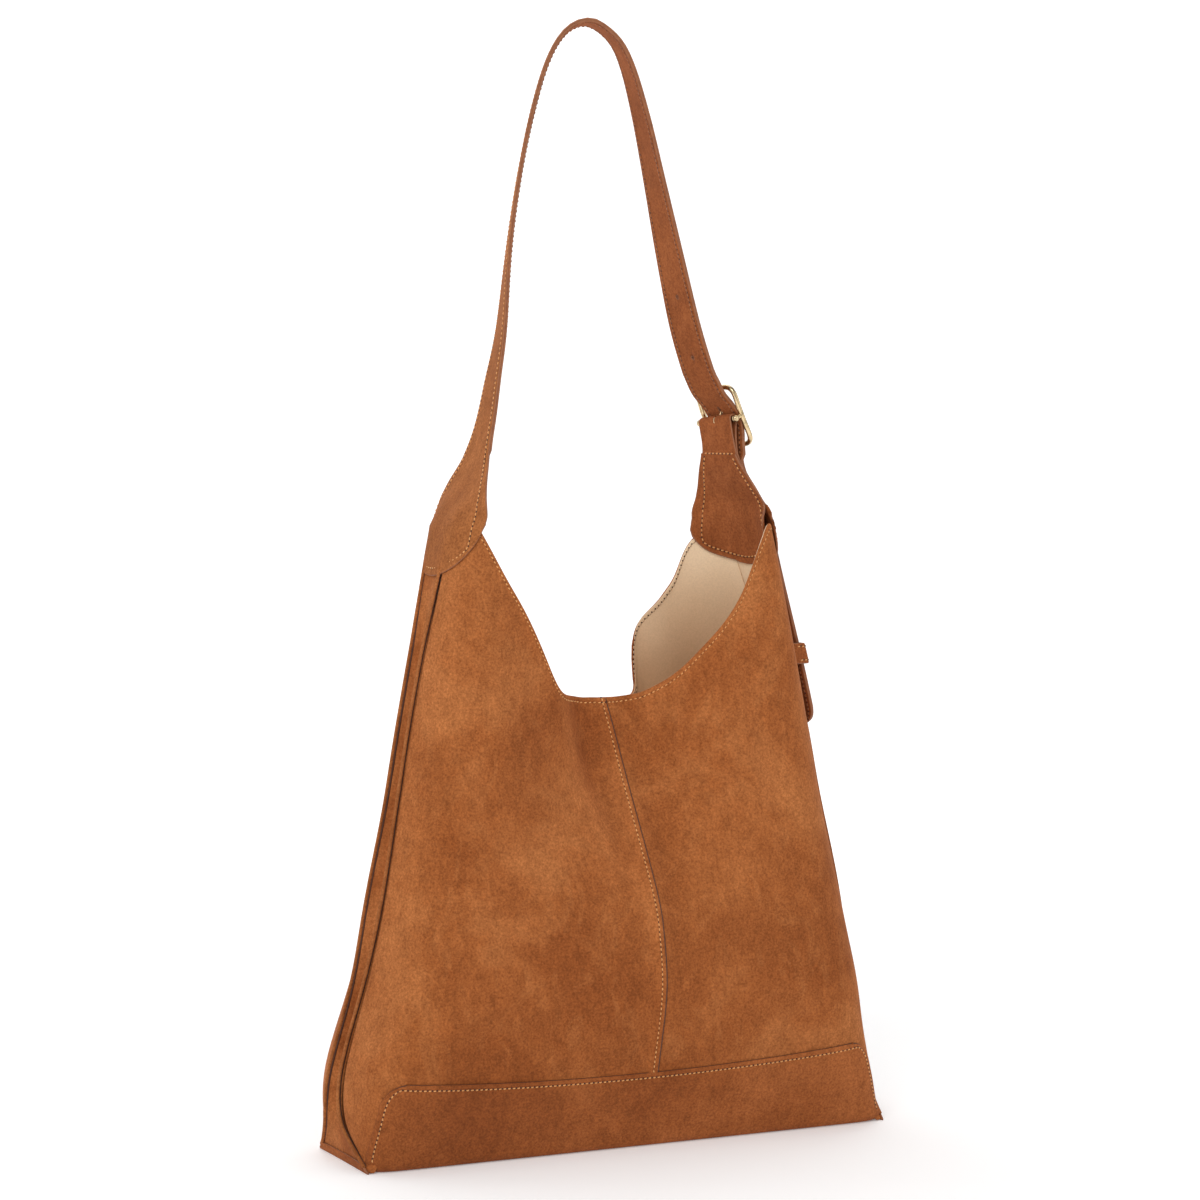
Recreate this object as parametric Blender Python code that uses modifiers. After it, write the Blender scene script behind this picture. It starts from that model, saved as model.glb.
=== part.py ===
"""Soft suede hobo bag with a buckled shoulder strap.

Frame: +Z up, front of the bag towards -Y, origin on the floor under the middle of the bag. Metres.
The body is a pair of curved panels joined by narrow folded side gussets over a stiffened base.
"""

import math

import bmesh
import bpy
import numpy as np
from mathutils import Matrix, Vector

# Driving dimensions -------------------------------------------------------------------------
BASE_HALF_DEPTH = 0.0465
MOUTH_HEIGHT = 0.314          # lowest point of the mouth's edge
CORNER_HEIGHT = 0.441         # top corners of the panels, inside the strap's ends
CORNER_X = 0.113              # where the mouth's edge reaches the corner height
MOUTH_FLAT_X = 0.020          # the mouth's edge is level for this far each side of the middle
MOUTH_CURVE = 1.7             # power of the mouth's rise
BODY_LEAN = -0.008            # sideways lean of the body, per metre of height
SUEDE = 0.0016                # shell leather
LINING = 0.0010
LINING_DEPTH = 0.0034         # from the shell's outside to the lining's outer face
SEAM_TRIM = 0.0024            # shell panels stop this far short of the seam line
LINING_TRIM = 0.0052
PANEL_BOTTOM = 0.009          # lower edge of the shell panels, just over the base's rolled corner
GAP = 0.0003                  # between pieces that touch
FACET = 0.0009                # extra room between two curved sheets that lie on each other
WELT_RADIUS = 0.00115
BAND_ROLL = 0.008             # radius where the base band turns under the bag
BAND_HALF_WIDTH = 0.2018
BAND_TOP_HALF_WIDTH = 0.188
BAND_HEIGHT = 0.060
BAND_DIP = 0.004              # the band's upper edge hangs this much lower in the middle
BAND_CORNER = 0.016
STRAP_WIDTH = 0.032
LAYER = 0.0015                # one layer of the two-layer strap
SWING_Z = 0.490               # the strap bends forwards and back about a line at this height
SWING_RADIUS = 0.0225         # round lower ends of the swinging pieces
SWING_CLEARANCE = 0.0007
BUCKLE_REACH = 0.0254         # the right-hand strap end keeps clear of the buckle's lower corners by this radius
LEAF_TIP_Z = 0.4085
LEAF_HALF_WIDTH = 0.0445
BAR_RADIUS = 0.0016
FRAME_WIRE = 0.0019
BUCKLE_HALF_LENGTH = 0.0225
BUCKLE_HALF_WIDTH = 0.0198
BUCKLE_ARCH = 0.0097
CHAPE_INSIDE = 0.0025         # inner radius of the chape's fold round the bar
CHAPE_LAYER = 0.0014
PRONG_RADIUS = 0.0011
HOLE_RADIUS = 0.0022
HOLE_PITCH = 0.045
KEEPER_Z = 0.345
KEEPER_HEIGHT = 0.014

# Height, half width of the body at its side seams
SEAM_X = [(0, 0.204), (0.035, 0.213), (0.085, 0.205), (0.147, 0.188), (0.20, 0.1755), (0.25, 0.1655),
          (0.30, 0.1565), (0.35, 0.1465), (0.40, 0.1355), (0.443, 0.126)]
# Height, half the distance between a side's two seams
SEAM_Y = [(0, 0.0465), (0.012, 0.031), (0.03, 0.0155), (0.06, 0.010), (0.11, 0.009), (0.18, 0.013),
          (0.25, 0.010), (0.35, 0.0095), (0.40, 0.0125), (0.443, 0.0150)]
# Height, how far the gusset folds inwards between its seams
FOLD = [(0, 0), (0.03, 0.005), (0.08, 0.011), (0.18, 0.009), (0.30, 0.011), (0.355, 0.007),
        (0.402, 0.0012), (0.443, 0.0006)]
# Height, half depth of the body
DEPTH = [(0, 0.0465), (0.05, 0.060), (0.11, 0.067), (0.16, 0.063), (0.21, 0.056), (0.30, 0.050), (0.443, 0.050)]
# Height, distance over which a panel rounds the corner from its seam
ROUNDING = [(0, 0.006), (0.05, 0.009), (0.15, 0.016), (0.25, 0.014), (0.35, 0.011), (0.443, 0.0115)]
PINCH_START_Z = 0.16          # above this the snap draws the panels together
PINCH = 0.0415
PINCH_HALF_WIDTH = 0.0585
# Height, sideways offset of the front's centre seam
CENTRE_SEAM = [(0, 0.009), (0.12, 0.012), (0.21, 0.004), (0.32, 0.0)]

# Strap's centreline: X, Z and the heading of its width from +Y towards +X, in degrees
LEFT_CORNER = [(0.126, 0.443), (0.1165, 0.467), (0.108, 0.490), (0.099, 0.516)]
RIGHT_CORNER = [(0.126, 0.443), (0.1125, 0.467), (0.1020, 0.490), (0.093, 0.516)]
STRAP_PATH = [(-0.108, 0.490, 0), (-0.099, 0.516, 6), (-0.090, 0.545, 16), (-0.0835, 0.580, 23),
              (-0.0775, 0.636, 25), (-0.0700, 0.684, 25), (-0.0600, 0.729, 24), (-0.0475, 0.768, 23),
              (-0.0330, 0.7895, 22), (-0.0150, 0.7960, 20), (0.0030, 0.7865, 16), (0.0145, 0.768, 12),
              (0.0260, 0.731, 7), (0.0372, 0.684, 2), (0.0490, 0.633, -5), (0.0610, 0.584, -9),
              (0.0715, 0.552, -10)]
BAR = (0.0878, 0.5145)        # X and Z of the buckle's centre bar
BAR_LEAN = math.radians(23)   # the chape leans inwards by this at the bar
RIGHT_TURN = -10              # the right-hand end of the strap is turned by this, in degrees

SUEDE_TAN = (0.46, 0.20, 0.065)
SUEDE_DARK = (0.34, 0.135, 0.05)
LINING_BEIGE = (0.60, 0.44, 0.30)
BRASS = (0.78, 0.60, 0.30)
BOARD_GREY = (0.25, 0.23, 0.20)


def smooth_table(table, at):
    """Reads a table with a curve that passes through its rows."""
    xs = [row[0] for row in table]
    ys = [row[1] for row in table]
    at = min(max(at, xs[0]), xs[-1])
    i = min(max(int(np.searchsorted(xs, at)) - 1, 0), len(xs) - 2)

    def slope(k):
        if k == 0:
            return (ys[1] - ys[0]) / (xs[1] - xs[0])
        if k == len(xs) - 1:
            return (ys[-1] - ys[-2]) / (xs[-1] - xs[-2])
        return (ys[k + 1] - ys[k - 1]) / (xs[k + 1] - xs[k - 1])

    step = xs[i + 1] - xs[i]
    t = (at - xs[i]) / step
    return ((2 * t**3 - 3 * t**2 + 1) * ys[i] + (t**3 - 2 * t**2 + t) * step * slope(i)
            + (3 * t**2 - 2 * t**3) * ys[i + 1] + (t**3 - t**2) * step * slope(i + 1))


def ease(low, high, at):
    t = min(max((at - low) / (high - low), 0), 1)
    return t * t * (3 - 2 * t)


# The body's surfaces --------------------------------------------------------------------------
def half_depth(x, z):
    """Distance of a panel's outside from the middle plane, x being measured from the body's middle."""
    inset = max(smooth_table(SEAM_X, z) - abs(x), 0)
    seam, depth = smooth_table(SEAM_Y, z), smooth_table(DEPTH, z)
    pinch = PINCH * ease(PINCH_START_Z, MOUTH_HEIGHT - 0.02, z) * math.exp(-((x / PINCH_HALF_WIDTH) ** 2))
    return seam + (depth - seam) * (1 - math.exp(-inset / smooth_table(ROUNDING, z))) - pinch


def panel_point(s, z, face):
    """A point on the outside of the front (face -1) or back (face 1); s runs from -1 to 1 between the side seams."""
    x = s * smooth_table(SEAM_X, z)
    return Vector((x + BODY_LEAN * z, face * half_depth(x, z), z))


def mouth_height(s):
    """Height of the panel's upper edge on the line s."""
    z = CORNER_HEIGHT
    for _ in range(40):
        rise = max(abs(s) * smooth_table(SEAM_X, z) - MOUTH_FLAT_X, 0) / (CORNER_X - MOUTH_FLAT_X)
        target = MOUTH_HEIGHT + (CORNER_HEIGHT - MOUTH_HEIGHT) * rise**MOUTH_CURVE
        z += 0.5 * (min(target, CORNER_HEIGHT) - z)
    return z


def gusset_point(a, z, side):
    """A point on the outside of a gusset; a runs from -1 at the front seam to 1 at the back seam."""
    x = smooth_table(SEAM_X, z) - smooth_table(FOLD, z) * (1 - a * a)
    return Vector((side * x + BODY_LEAN * z, a * smooth_table(SEAM_Y, z), z))


# Mesh helpers -----------------------------------------------------------------------------------
def material(name, colour, roughness, metallic=0.0):
    made = bpy.data.materials.new(name)
    made.use_nodes = True
    shader = made.node_tree.nodes["Principled BSDF"]
    shader.inputs["Base Color"].default_value = (*colour, 1)
    shader.inputs["Roughness"].default_value = roughness
    shader.inputs["Metallic"].default_value = metallic
    return made


def add_object(name, mesh, made_of, where):
    obj = bpy.data.objects.new(name, mesh)
    where.objects.link(obj)
    if made_of is not None:
        mesh.materials.append(made_of)
    return obj


def sheet(name, point, across, along, made_of, depth=0.0, thickness=SUEDE, inside=None):
    """A closed sheet over point(u, v), u and v from 0 to 1: its outer face lies `depth` below the surface.

    inside is a point on the sheet's inner side, or a function of the surface point that gives one.
    """
    step = 1e-4
    mesh = bpy.data.meshes.new(name)
    shape = bmesh.new()
    rows = []
    for j in range(along + 1):
        row = []
        for i in range(across + 1):
            u, v = i / across, j / along
            p = point(u, v)
            du = point(min(u + step, 1), v) - point(max(u - step, 0), v)
            dv = point(u, min(v + step, 1)) - point(u, max(v - step, 0))
            normal = du.cross(dv).normalized()
            centre = inside(p) if callable(inside) else Vector(inside)
            if normal.dot(p - centre) < 0:
                normal = -normal
            row.append(shape.verts.new(p - normal * depth))
        rows.append(row)
    for j in range(along):
        for i in range(across):
            shape.faces.new((rows[j][i], rows[j][i + 1], rows[j + 1][i + 1], rows[j + 1][i]))
    shape.normal_update()
    shape.faces.ensure_lookup_table()
    middle = shape.faces[len(shape.faces) // 2]
    at = middle.calc_center_median()
    if middle.normal.dot(at - (inside(at) if callable(inside) else Vector(inside))) < 0:
        bmesh.ops.reverse_faces(shape, faces=shape.faces)
    shape.to_mesh(mesh)
    shape.free()
    obj = add_object(name, mesh, made_of, PARTS)
    solid = obj.modifiers.new("Thickness", "SOLIDIFY")
    solid.thickness = thickness
    solid.offset = -1
    mesh.shade_smooth()
    return obj


def tube(name, points, radius, made_of, cyclic=False, sides=1):
    curve = bpy.data.curves.new(name, "CURVE")
    curve.dimensions = "3D"
    curve.bevel_depth = radius
    curve.bevel_resolution = sides
    curve.use_fill_caps = not cyclic
    line = curve.splines.new("POLY")
    line.points.add(len(points) - 1)
    for spot, p in zip(line.points, points):
        spot.co = (*p, 1)
    line.use_cyclic_u = cyclic
    return add_object(name, curve, made_of, PARTS)


def as_mesh(obj):
    """The evaluated mesh of an object under the same name, with a curve's caps welded."""
    graph = bpy.context.evaluated_depsgraph_get()
    mesh = bpy.data.meshes.new_from_object(obj.evaluated_get(graph))
    shape = bmesh.new()
    shape.from_mesh(mesh)
    bmesh.ops.remove_doubles(shape, verts=shape.verts, dist=1e-5)
    bmesh.ops.recalc_face_normals(shape, faces=shape.faces)
    shape.to_mesh(mesh)
    shape.free()
    name, place = obj.name, obj.matrix_world.copy()
    bpy.data.objects.remove(obj)
    made = bpy.data.objects.new(name, mesh)
    made.matrix_world = place
    PARTS.objects.link(made)
    return made


def cutter(name, mesh_object):
    mesh_object.name = name
    for collection in list(mesh_object.users_collection):
        collection.objects.unlink(mesh_object)
    CUTTERS.objects.link(mesh_object)
    mesh_object.hide_render = True
    mesh_object.display_type = "WIRE"
    return mesh_object


def boolean(obj, other, operation):
    modifier = obj.modifiers.new(operation.title(), "BOOLEAN")
    modifier.operation = operation
    modifier.object = other


# Shell, lining and base -----------------------------------------------------------------------
def body_axis(p):
    return Vector((p.x * 0.9, 0, p.z))


def gusset_inside(p):
    return Vector((0, 0, p.z))


def half_panel(name, face, low, high, made_of):
    """Half of the front or back, between two side positions given as functions of height."""
    def point(u, v):
        u = u**1.9 if low(0.1) < -0.5 else 1 - (1 - u) ** 1.9
        z_guess = PANEL_BOTTOM
        for _ in range(12):
            s = low(z_guess) + (high(z_guess) - low(z_guess)) * u
            z_guess = PANEL_BOTTOM + (mouth_height(s) - PANEL_BOTTOM) * v
        return panel_point(s, z_guess, face)

    return sheet(name, point, 12, 14, made_of, inside=body_axis)


def seam_share(trim):
    """The side position that lies `trim` short of the seam, as a function of height."""
    return lambda z: 1 - trim / smooth_table(SEAM_X, z)


def centre_share(offset, shift):
    return lambda z: (smooth_table(CENTRE_SEAM, z) * shift + offset) / smooth_table(SEAM_X, z)


def make_shell(suede):
    edge = seam_share(SEAM_TRIM * 0.55)
    for face, word, shift in ((-1, "front", 1), (1, "back", 0)):
        half_panel(f"{word}_panel_left", face, lambda z: -edge(z), centre_share(-GAP, shift), suede)
        half_panel(f"{word}_panel_right", face, centre_share(GAP, shift), edge, suede)
    for side, word in ((-1, "left"), (1, "right")):
        def gusset(u, v, side=side):
            z = 0.0008 + (0.436 - 0.0008) * v
            share = 1 - SEAM_TRIM * 0.8 / smooth_table(SEAM_Y, z)
            return gusset_point((2 * u - 1) * share, z, side)

        sheet(f"gusset_{word}", gusset, 6, 22, suede, inside=gusset_inside)


def make_welts(suede):
    heights = [0.012, 0.020] + list(np.linspace(0.032, LEAF_TIP_Z - 0.012, 20))
    for side, side_word in ((-1, "left"), (1, "right")):
        for face, word in ((-1, "front"), (1, "back")):
            points = [(side * (smooth_table(SEAM_X, z) + 0.0010) + BODY_LEAN * z,
                       face * (smooth_table(SEAM_Y, z) + 0.0010), z) for z in heights]
            tube(f"welt_{word}_{side_word}", points, WELT_RADIUS, suede)


def make_lining(fabric):
    edge = seam_share(LINING_TRIM)
    for face, word in ((-1, "front"), (1, "back")):
        def point(u, v, face=face):
            z = 0.010
            for _ in range(12):
                s = math.copysign(1 - (1 - abs(2 * u - 1)) ** 1.7, u - 0.5) * edge(z)
                z = 0.010 + (mouth_height(s) - 0.0015 - 0.010) * v
            return panel_point(s, z, face)

        sheet(f"lining_{word}", point, 18, 12, fabric, LINING_DEPTH, LINING, inside=body_axis)
    for side, word in ((-1, "left"), (1, "right")):
        def gusset(u, v, side=side):
            z = 0.0065 + (0.432 - 0.0065) * v
            share = max(1 - LINING_TRIM * 0.8 / smooth_table(SEAM_Y, z), 0.3)
            return gusset_point((2 * u - 1) * share, z, side)

        sheet(f"lining_gusset_{word}", gusset, 4, 18, fabric, LINING_DEPTH, LINING, inside=gusset_inside)


def slab(name, half_x, half_y, low, high, made_of, corner):
    """A flat board with round corners."""
    curve = bpy.data.curves.new(name, "CURVE")
    curve.dimensions = "2D"
    curve.fill_mode = "BOTH"
    curve.extrude = (high - low) / 2
    line = curve.splines.new("POLY")
    points = []
    for sx, sy, start in ((1, 1, 0), (-1, 1, 90), (-1, -1, 180), (1, -1, 270)):
        for turn in (0, 30, 60, 90):
            angle = math.radians(start + turn)
            points.append((sx * (half_x - corner) + corner * math.cos(angle),
                           sy * (half_y - corner) + corner * math.sin(angle)))
    line.points.add(len(points) - 1)
    for spot, p in zip(line.points, points):
        spot.co = (*p, 0, 1)
    line.use_cyclic_u = True
    obj = add_object(name, curve, made_of, PARTS)
    obj.location.z = (low + high) / 2
    return obj


def band_half_width(z, x_top=BAND_TOP_HALF_WIDTH):
    """Half width of the base band at height z on its upright faces, with round upper corners."""
    slope = (BAND_HALF_WIDTH - x_top) / BAND_HEIGHT
    width = BAND_HALF_WIDTH - slope * z
    over = max(z - (BAND_HEIGHT - BAND_CORNER), 0)
    return width - BAND_CORNER + math.sqrt(max(BAND_CORNER**2 - over**2, 0))


def band_top(x):
    return BAND_HEIGHT - BAND_DIP * (1 - (x / BAND_TOP_HALF_WIDTH) ** 2)


def make_base(suede, fabric, board):
    outside = SUEDE + GAP + FACET
    roll = BAND_ROLL - outside

    def point(u, v):
        """v: 0 to 0.35 down the front, to 0.42 the roll, to 0.5 the bottom's middle, then the same up the back."""
        face = -1 if v < 0.5 else 1
        t = v if v < 0.5 else 1 - v
        p = math.copysign(1 - (1 - abs(2 * u - 1)) ** 1.6, u - 0.5)
        if t < 0.35:
            share = 1 - t / 0.35
            x = p * band_half_width(BAND_ROLL + (BAND_HEIGHT - BAND_ROLL) * share)
            z = BAND_ROLL + (band_top(x) - BAND_ROLL) * share
            return Vector((x + BODY_LEAN * z, face * half_depth(x, z), z))
        x = p * band_half_width(BAND_ROLL)
        q = half_depth(x, BAND_ROLL)
        if t < 0.42:
            angle = (t - 0.35) / 0.07 * math.pi / 2
            return Vector((x, face * (q - roll * (1 - math.cos(angle))), BAND_ROLL - roll * math.sin(angle)))
        return Vector((x, face * (q - roll) * (0.5 - t) / 0.08, outside))

    def inside(p):
        return Vector((p.x * 0.9, 0, 0.02))

    sheet("base_band", point, 22, 100, suede, -outside, SUEDE, inside=inside)
    keep_rows(PARTS.objects["base_band"], 22, [0, 4, 9, 15, 22, 29, 35, 37, 38, 40, 42, 46, 50])
    slab("base_board", 0.194, 0.0355, 0.0026, 0.0044, board, 0.012)
    slab("lining_base", 0.192, 0.0350, 0.0048, 0.0058, fabric, 0.012)


def keep_rows(obj, across, kept):
    """Dissolves the grid rows that the shape doesn't need; kept lists the first half's rows."""
    rows = sorted(set(kept + [100 - k for k in kept]))
    shape = bmesh.new()
    shape.from_mesh(obj.data)
    shape.verts.ensure_lookup_table()
    shape.faces.ensure_lookup_table()
    points = [[v.co.copy() for v in shape.verts[r * (across + 1):(r + 1) * (across + 1)]] for r in rows]
    flip = shape.faces[:][0].normal.copy()
    shape.clear()
    grid = [[shape.verts.new(p) for p in row] for row in points]
    for j in range(len(grid) - 1):
        for i in range(across):
            shape.faces.new((grid[j][i], grid[j][i + 1], grid[j + 1][i + 1], grid[j + 1][i]))
    shape.normal_update()
    shape.faces.ensure_lookup_table()
    if shape.faces[:][0].normal.dot(flip) < 0:
        bmesh.ops.reverse_faces(shape, faces=shape.faces)
    shape.to_mesh(obj.data)
    shape.free()
    obj.data.shade_smooth()


# Strap ends sewn over the bag's top corners -----------------------------------------------------
def corner_x(z, side=1):
    """Distance of the strap's end from the middle, which continues the gusset upwards."""
    corner = RIGHT_CORNER if side > 0 else LEFT_CORNER
    return smooth_table(SEAM_X, z) if z < corner[0][1] else smooth_table([(b, a) for a, b in corner], z)


def corner_turn(z):
    """Heading of the right-hand strap end at height z, in degrees."""
    return RIGHT_TURN * ease(0.441, 0.466, z)


def wrap_point(q, z, side, off, sections={}):
    """The corner's section at height z: q is the distance along it from the gusset's middle."""
    key = round(z, 6)
    if key not in sections:
        low = min(z, CORNER_HEIGHT)
        unbend = ease(CORNER_HEIGHT, 0.484, z)
        seam, wide = smooth_table(SEAM_Y, low), smooth_table(SEAM_X, low)
        x, y, run, inset, rows = 0.0, 0.0, 0.0, 0.0, []
        step = 0.0005
        while run < 0.060:
            if run < seam:
                heading = math.pi / 2
            else:
                rise = half_depth(wide - inset - 1e-5, low) - half_depth(wide - inset, low)
                heading = math.atan2(rise, 1e-5)
                inset += step * math.cos(heading)
            heading += (math.pi / 2 - heading) * unbend
            rows.append((run, x, y, heading))
            x, y, run = x - step * math.cos(heading), y + step * math.sin(heading), run + step
        sections[key] = rows
    rows = sections[key]
    where = min(abs(q) / 0.0005, len(rows) - 1.001)
    i = int(where)
    t = where - i
    x, y, heading = (rows[i][k] * (1 - t) + rows[i + 1][k] * t for k in (1, 2, 3))
    x += off * math.sin(heading)
    y += off * math.cos(heading)
    y = math.copysign(y, q)
    if side > 0:
        x += y * math.tan(math.radians(corner_turn(z)))
    return Vector((side * (corner_x(z, side) + x) + BODY_LEAN * z, y, z))


def leaf(name, side, off, half_width, tip, made_of, thickness=LAYER):
    """A strap end, sewn over a top corner. Its upper edge is a hollow arc round the bend line."""
    reach = BUCKLE_REACH if side > 0 else SWING_RADIUS + SWING_CLEARANCE
    shoulder = reach * (0.72 if side > 0 else 0.93)
    wide_z = 0.450

    def point(u, v):
        p = math.copysign(abs(2 * u - 1), 2 * u - 1)
        lower = wide_z - (wide_z - tip) * math.sqrt(max(1 - p * p, 0))
        q_top = p * shoulder
        upper = SWING_Z - math.sqrt(reach**2 - q_top**2)
        z = lower + (upper - lower) * v
        share = ease(wide_z - 0.006, upper, z) if z > wide_z - 0.006 else 0
        q = p * half_width + (q_top - p * half_width) * share
        return wrap_point(q, z, side, off(z))

    return sheet(name, point, 18, 9, made_of, 0, thickness, inside=gusset_inside)


def outer_offset(z):
    return GAP / 2 + LAYER + (GAP / 2 + 0.0001) * (1 - ease(0.448, 0.462, z))


def inner_offset(z):
    """The outside of the inner strap end, which lies inside the lining."""
    return -GAP / 2 - (LINING_DEPTH + LINING + 3 * GAP + 0.0012) * (1 - ease(0.4425, 0.476, z))


def make_leaves(suede):
    for side, word in ((-1, "left"), (1, "right")):
        leaf(f"strap_end_outer_{word}", side, outer_offset, LEAF_HALF_WIDTH, LEAF_TIP_Z, suede)
        leaf(f"strap_end_inner_{word}", side, inner_offset, LEAF_HALF_WIDTH - 0.012, LEAF_TIP_Z + 0.004, suede)


# Strap, buckle and tail -----------------------------------------------------------------------
class Course:
    """A smooth path in the XZ plane, with a heading for the ribbon's width."""

    def __init__(self, rows):
        dense = []
        for i in range(len(rows) - 1):
            a, b, c, d = (np.array(rows[max(min(k, len(rows) - 1), 0)], float) for k in (i - 1, i, i + 1, i + 2))
            for t in np.linspace(0, 1, 24, endpoint=i == len(rows) - 2):
                dense.append(0.5 * (2 * b + (c - a) * t + (2 * a - 5 * b + 4 * c - d) * t**2
                                    + (3 * b - a - 3 * c + d) * t**3))
        self.rows = np.array(dense)
        steps = np.hypot(*np.diff(self.rows[:, :2], axis=0).T)
        self.run = np.concatenate([[0], np.cumsum(steps)])
        self.length = float(self.run[-1])

    def at(self, s):
        x, z, heading = (float(np.interp(s, self.run, self.rows[:, k])) for k in (0, 1, 2))
        near = min(max(s, 4e-4), self.length - 4e-4)
        ahead, behind = near + 4e-4, near - 4e-4
        dx = float(np.interp(ahead, self.run, self.rows[:, 0]) - np.interp(behind, self.run, self.rows[:, 0]))
        dz = float(np.interp(ahead, self.run, self.rows[:, 1]) - np.interp(behind, self.run, self.rows[:, 1]))
        tangent = Vector((dx, 0, dz)).normalized()
        if s < 0 or s > self.length:
            over = s if s < 0 else s - self.length
            x, z = x + tangent.x * over, z + tangent.z * over
        turn = math.radians(heading)
        width = Vector((math.sin(turn), math.cos(turn), 0))
        width = (width - tangent * width.dot(tangent)).normalized()
        return Vector((x, 0, z)), tangent, width, width.cross(tangent).normalized()


def ribbon(name, course, half, off, made_of, across, stations, thickness=LAYER, dips=(0, 0)):
    """A ribbon along a course; off is its outer face's offset along the course's normal. dips are the radii of round ends."""
    sign = 1
    mid = course.at(course.length / 2)
    if mid[3].dot(mid[0] - Vector((0, 0, 0.6))) < 0:
        sign = -1

    def point(u, v):
        p = 2 * u - 1
        k = v * (len(stations) - 1)
        i = min(int(k), len(stations) - 2)
        s = stations[i] + (stations[i + 1] - stations[i]) * (k - i)
        fade = 0.030
        if dips[0]:
            s -= math.sqrt(max(1 - p * p, 0)) * dips[0] * max(1 - s / fade, 0)
        if dips[1]:
            s += math.sqrt(max(1 - p * p, 0)) * dips[1] * max(1 - (course.length - s) / fade, 0)
        centre, _, width, normal = course.at(s)
        return centre + width * p * half(s) + normal * sign * off(s)

    obj = sheet(name, point, across, len(stations) - 1, made_of, 0, thickness,
                inside=lambda p: Vector((0, 0, min(p.z, 0.60))))
    return obj


def block(name, size, place):
    shape = bmesh.new()
    bmesh.ops.create_cube(shape, size=1, matrix=place @ Matrix.Diagonal((*size, 1)))
    bmesh.ops.recalc_face_normals(shape, faces=shape.faces)
    mesh = bpy.data.meshes.new(name)
    shape.to_mesh(mesh)
    shape.free()
    return cutter(name, bpy.data.objects.new(name, mesh))


def rod(name, place, radius, length, stretch=1.0, made_of=None, segments=16):
    """A cylinder along the place's Z; stretch lengthens its section along the place's X."""
    shape = bmesh.new()
    bmesh.ops.create_cone(shape, cap_ends=True, segments=segments, radius1=radius, radius2=radius, depth=length,
                          matrix=place @ Matrix.Diagonal((stretch, 1, 1, 1)))
    bmesh.ops.recalc_face_normals(shape, faces=shape.faces)
    mesh = bpy.data.meshes.new(name)
    shape.to_mesh(mesh)
    shape.free()
    if made_of is None:
        return cutter(name, bpy.data.objects.new(name, mesh))
    return add_object(name, mesh, made_of, PARTS)


def bar_frame():
    """Centre, along the strap upwards, outwards, and along the bar."""
    turn = math.radians(RIGHT_TURN)
    along = Vector((-math.sin(BAR_LEAN), 0, math.cos(BAR_LEAN)))
    width = Vector((math.sin(turn), math.cos(turn), 0))
    width = (width - along * width.dot(along)).normalized()
    out = along.cross(width)
    if out.x < 0:
        out = -out
    return Vector((BAR[0], 0, BAR[1])), along, out, width


def from_bar(u, n, w=0.0):
    centre, along, out, width = bar_frame()
    return centre + along * u + out * n + width * w


def right_rows():
    """The strap over the bar and down the outside of the chape and the strap end, to the bend line."""
    rows = []
    for u, n in ((0.031, 0.0006), (0.0205, 0.0026), (0.010, 0.0056), (0.0, 0.0068), (-0.010, 0.0058),
                 (-0.018, 0.0049), (-0.0262, 0.0046)):
        p = from_bar(u, n)
        rows.append((p.x, p.z, RIGHT_TURN))
    return rows


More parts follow.
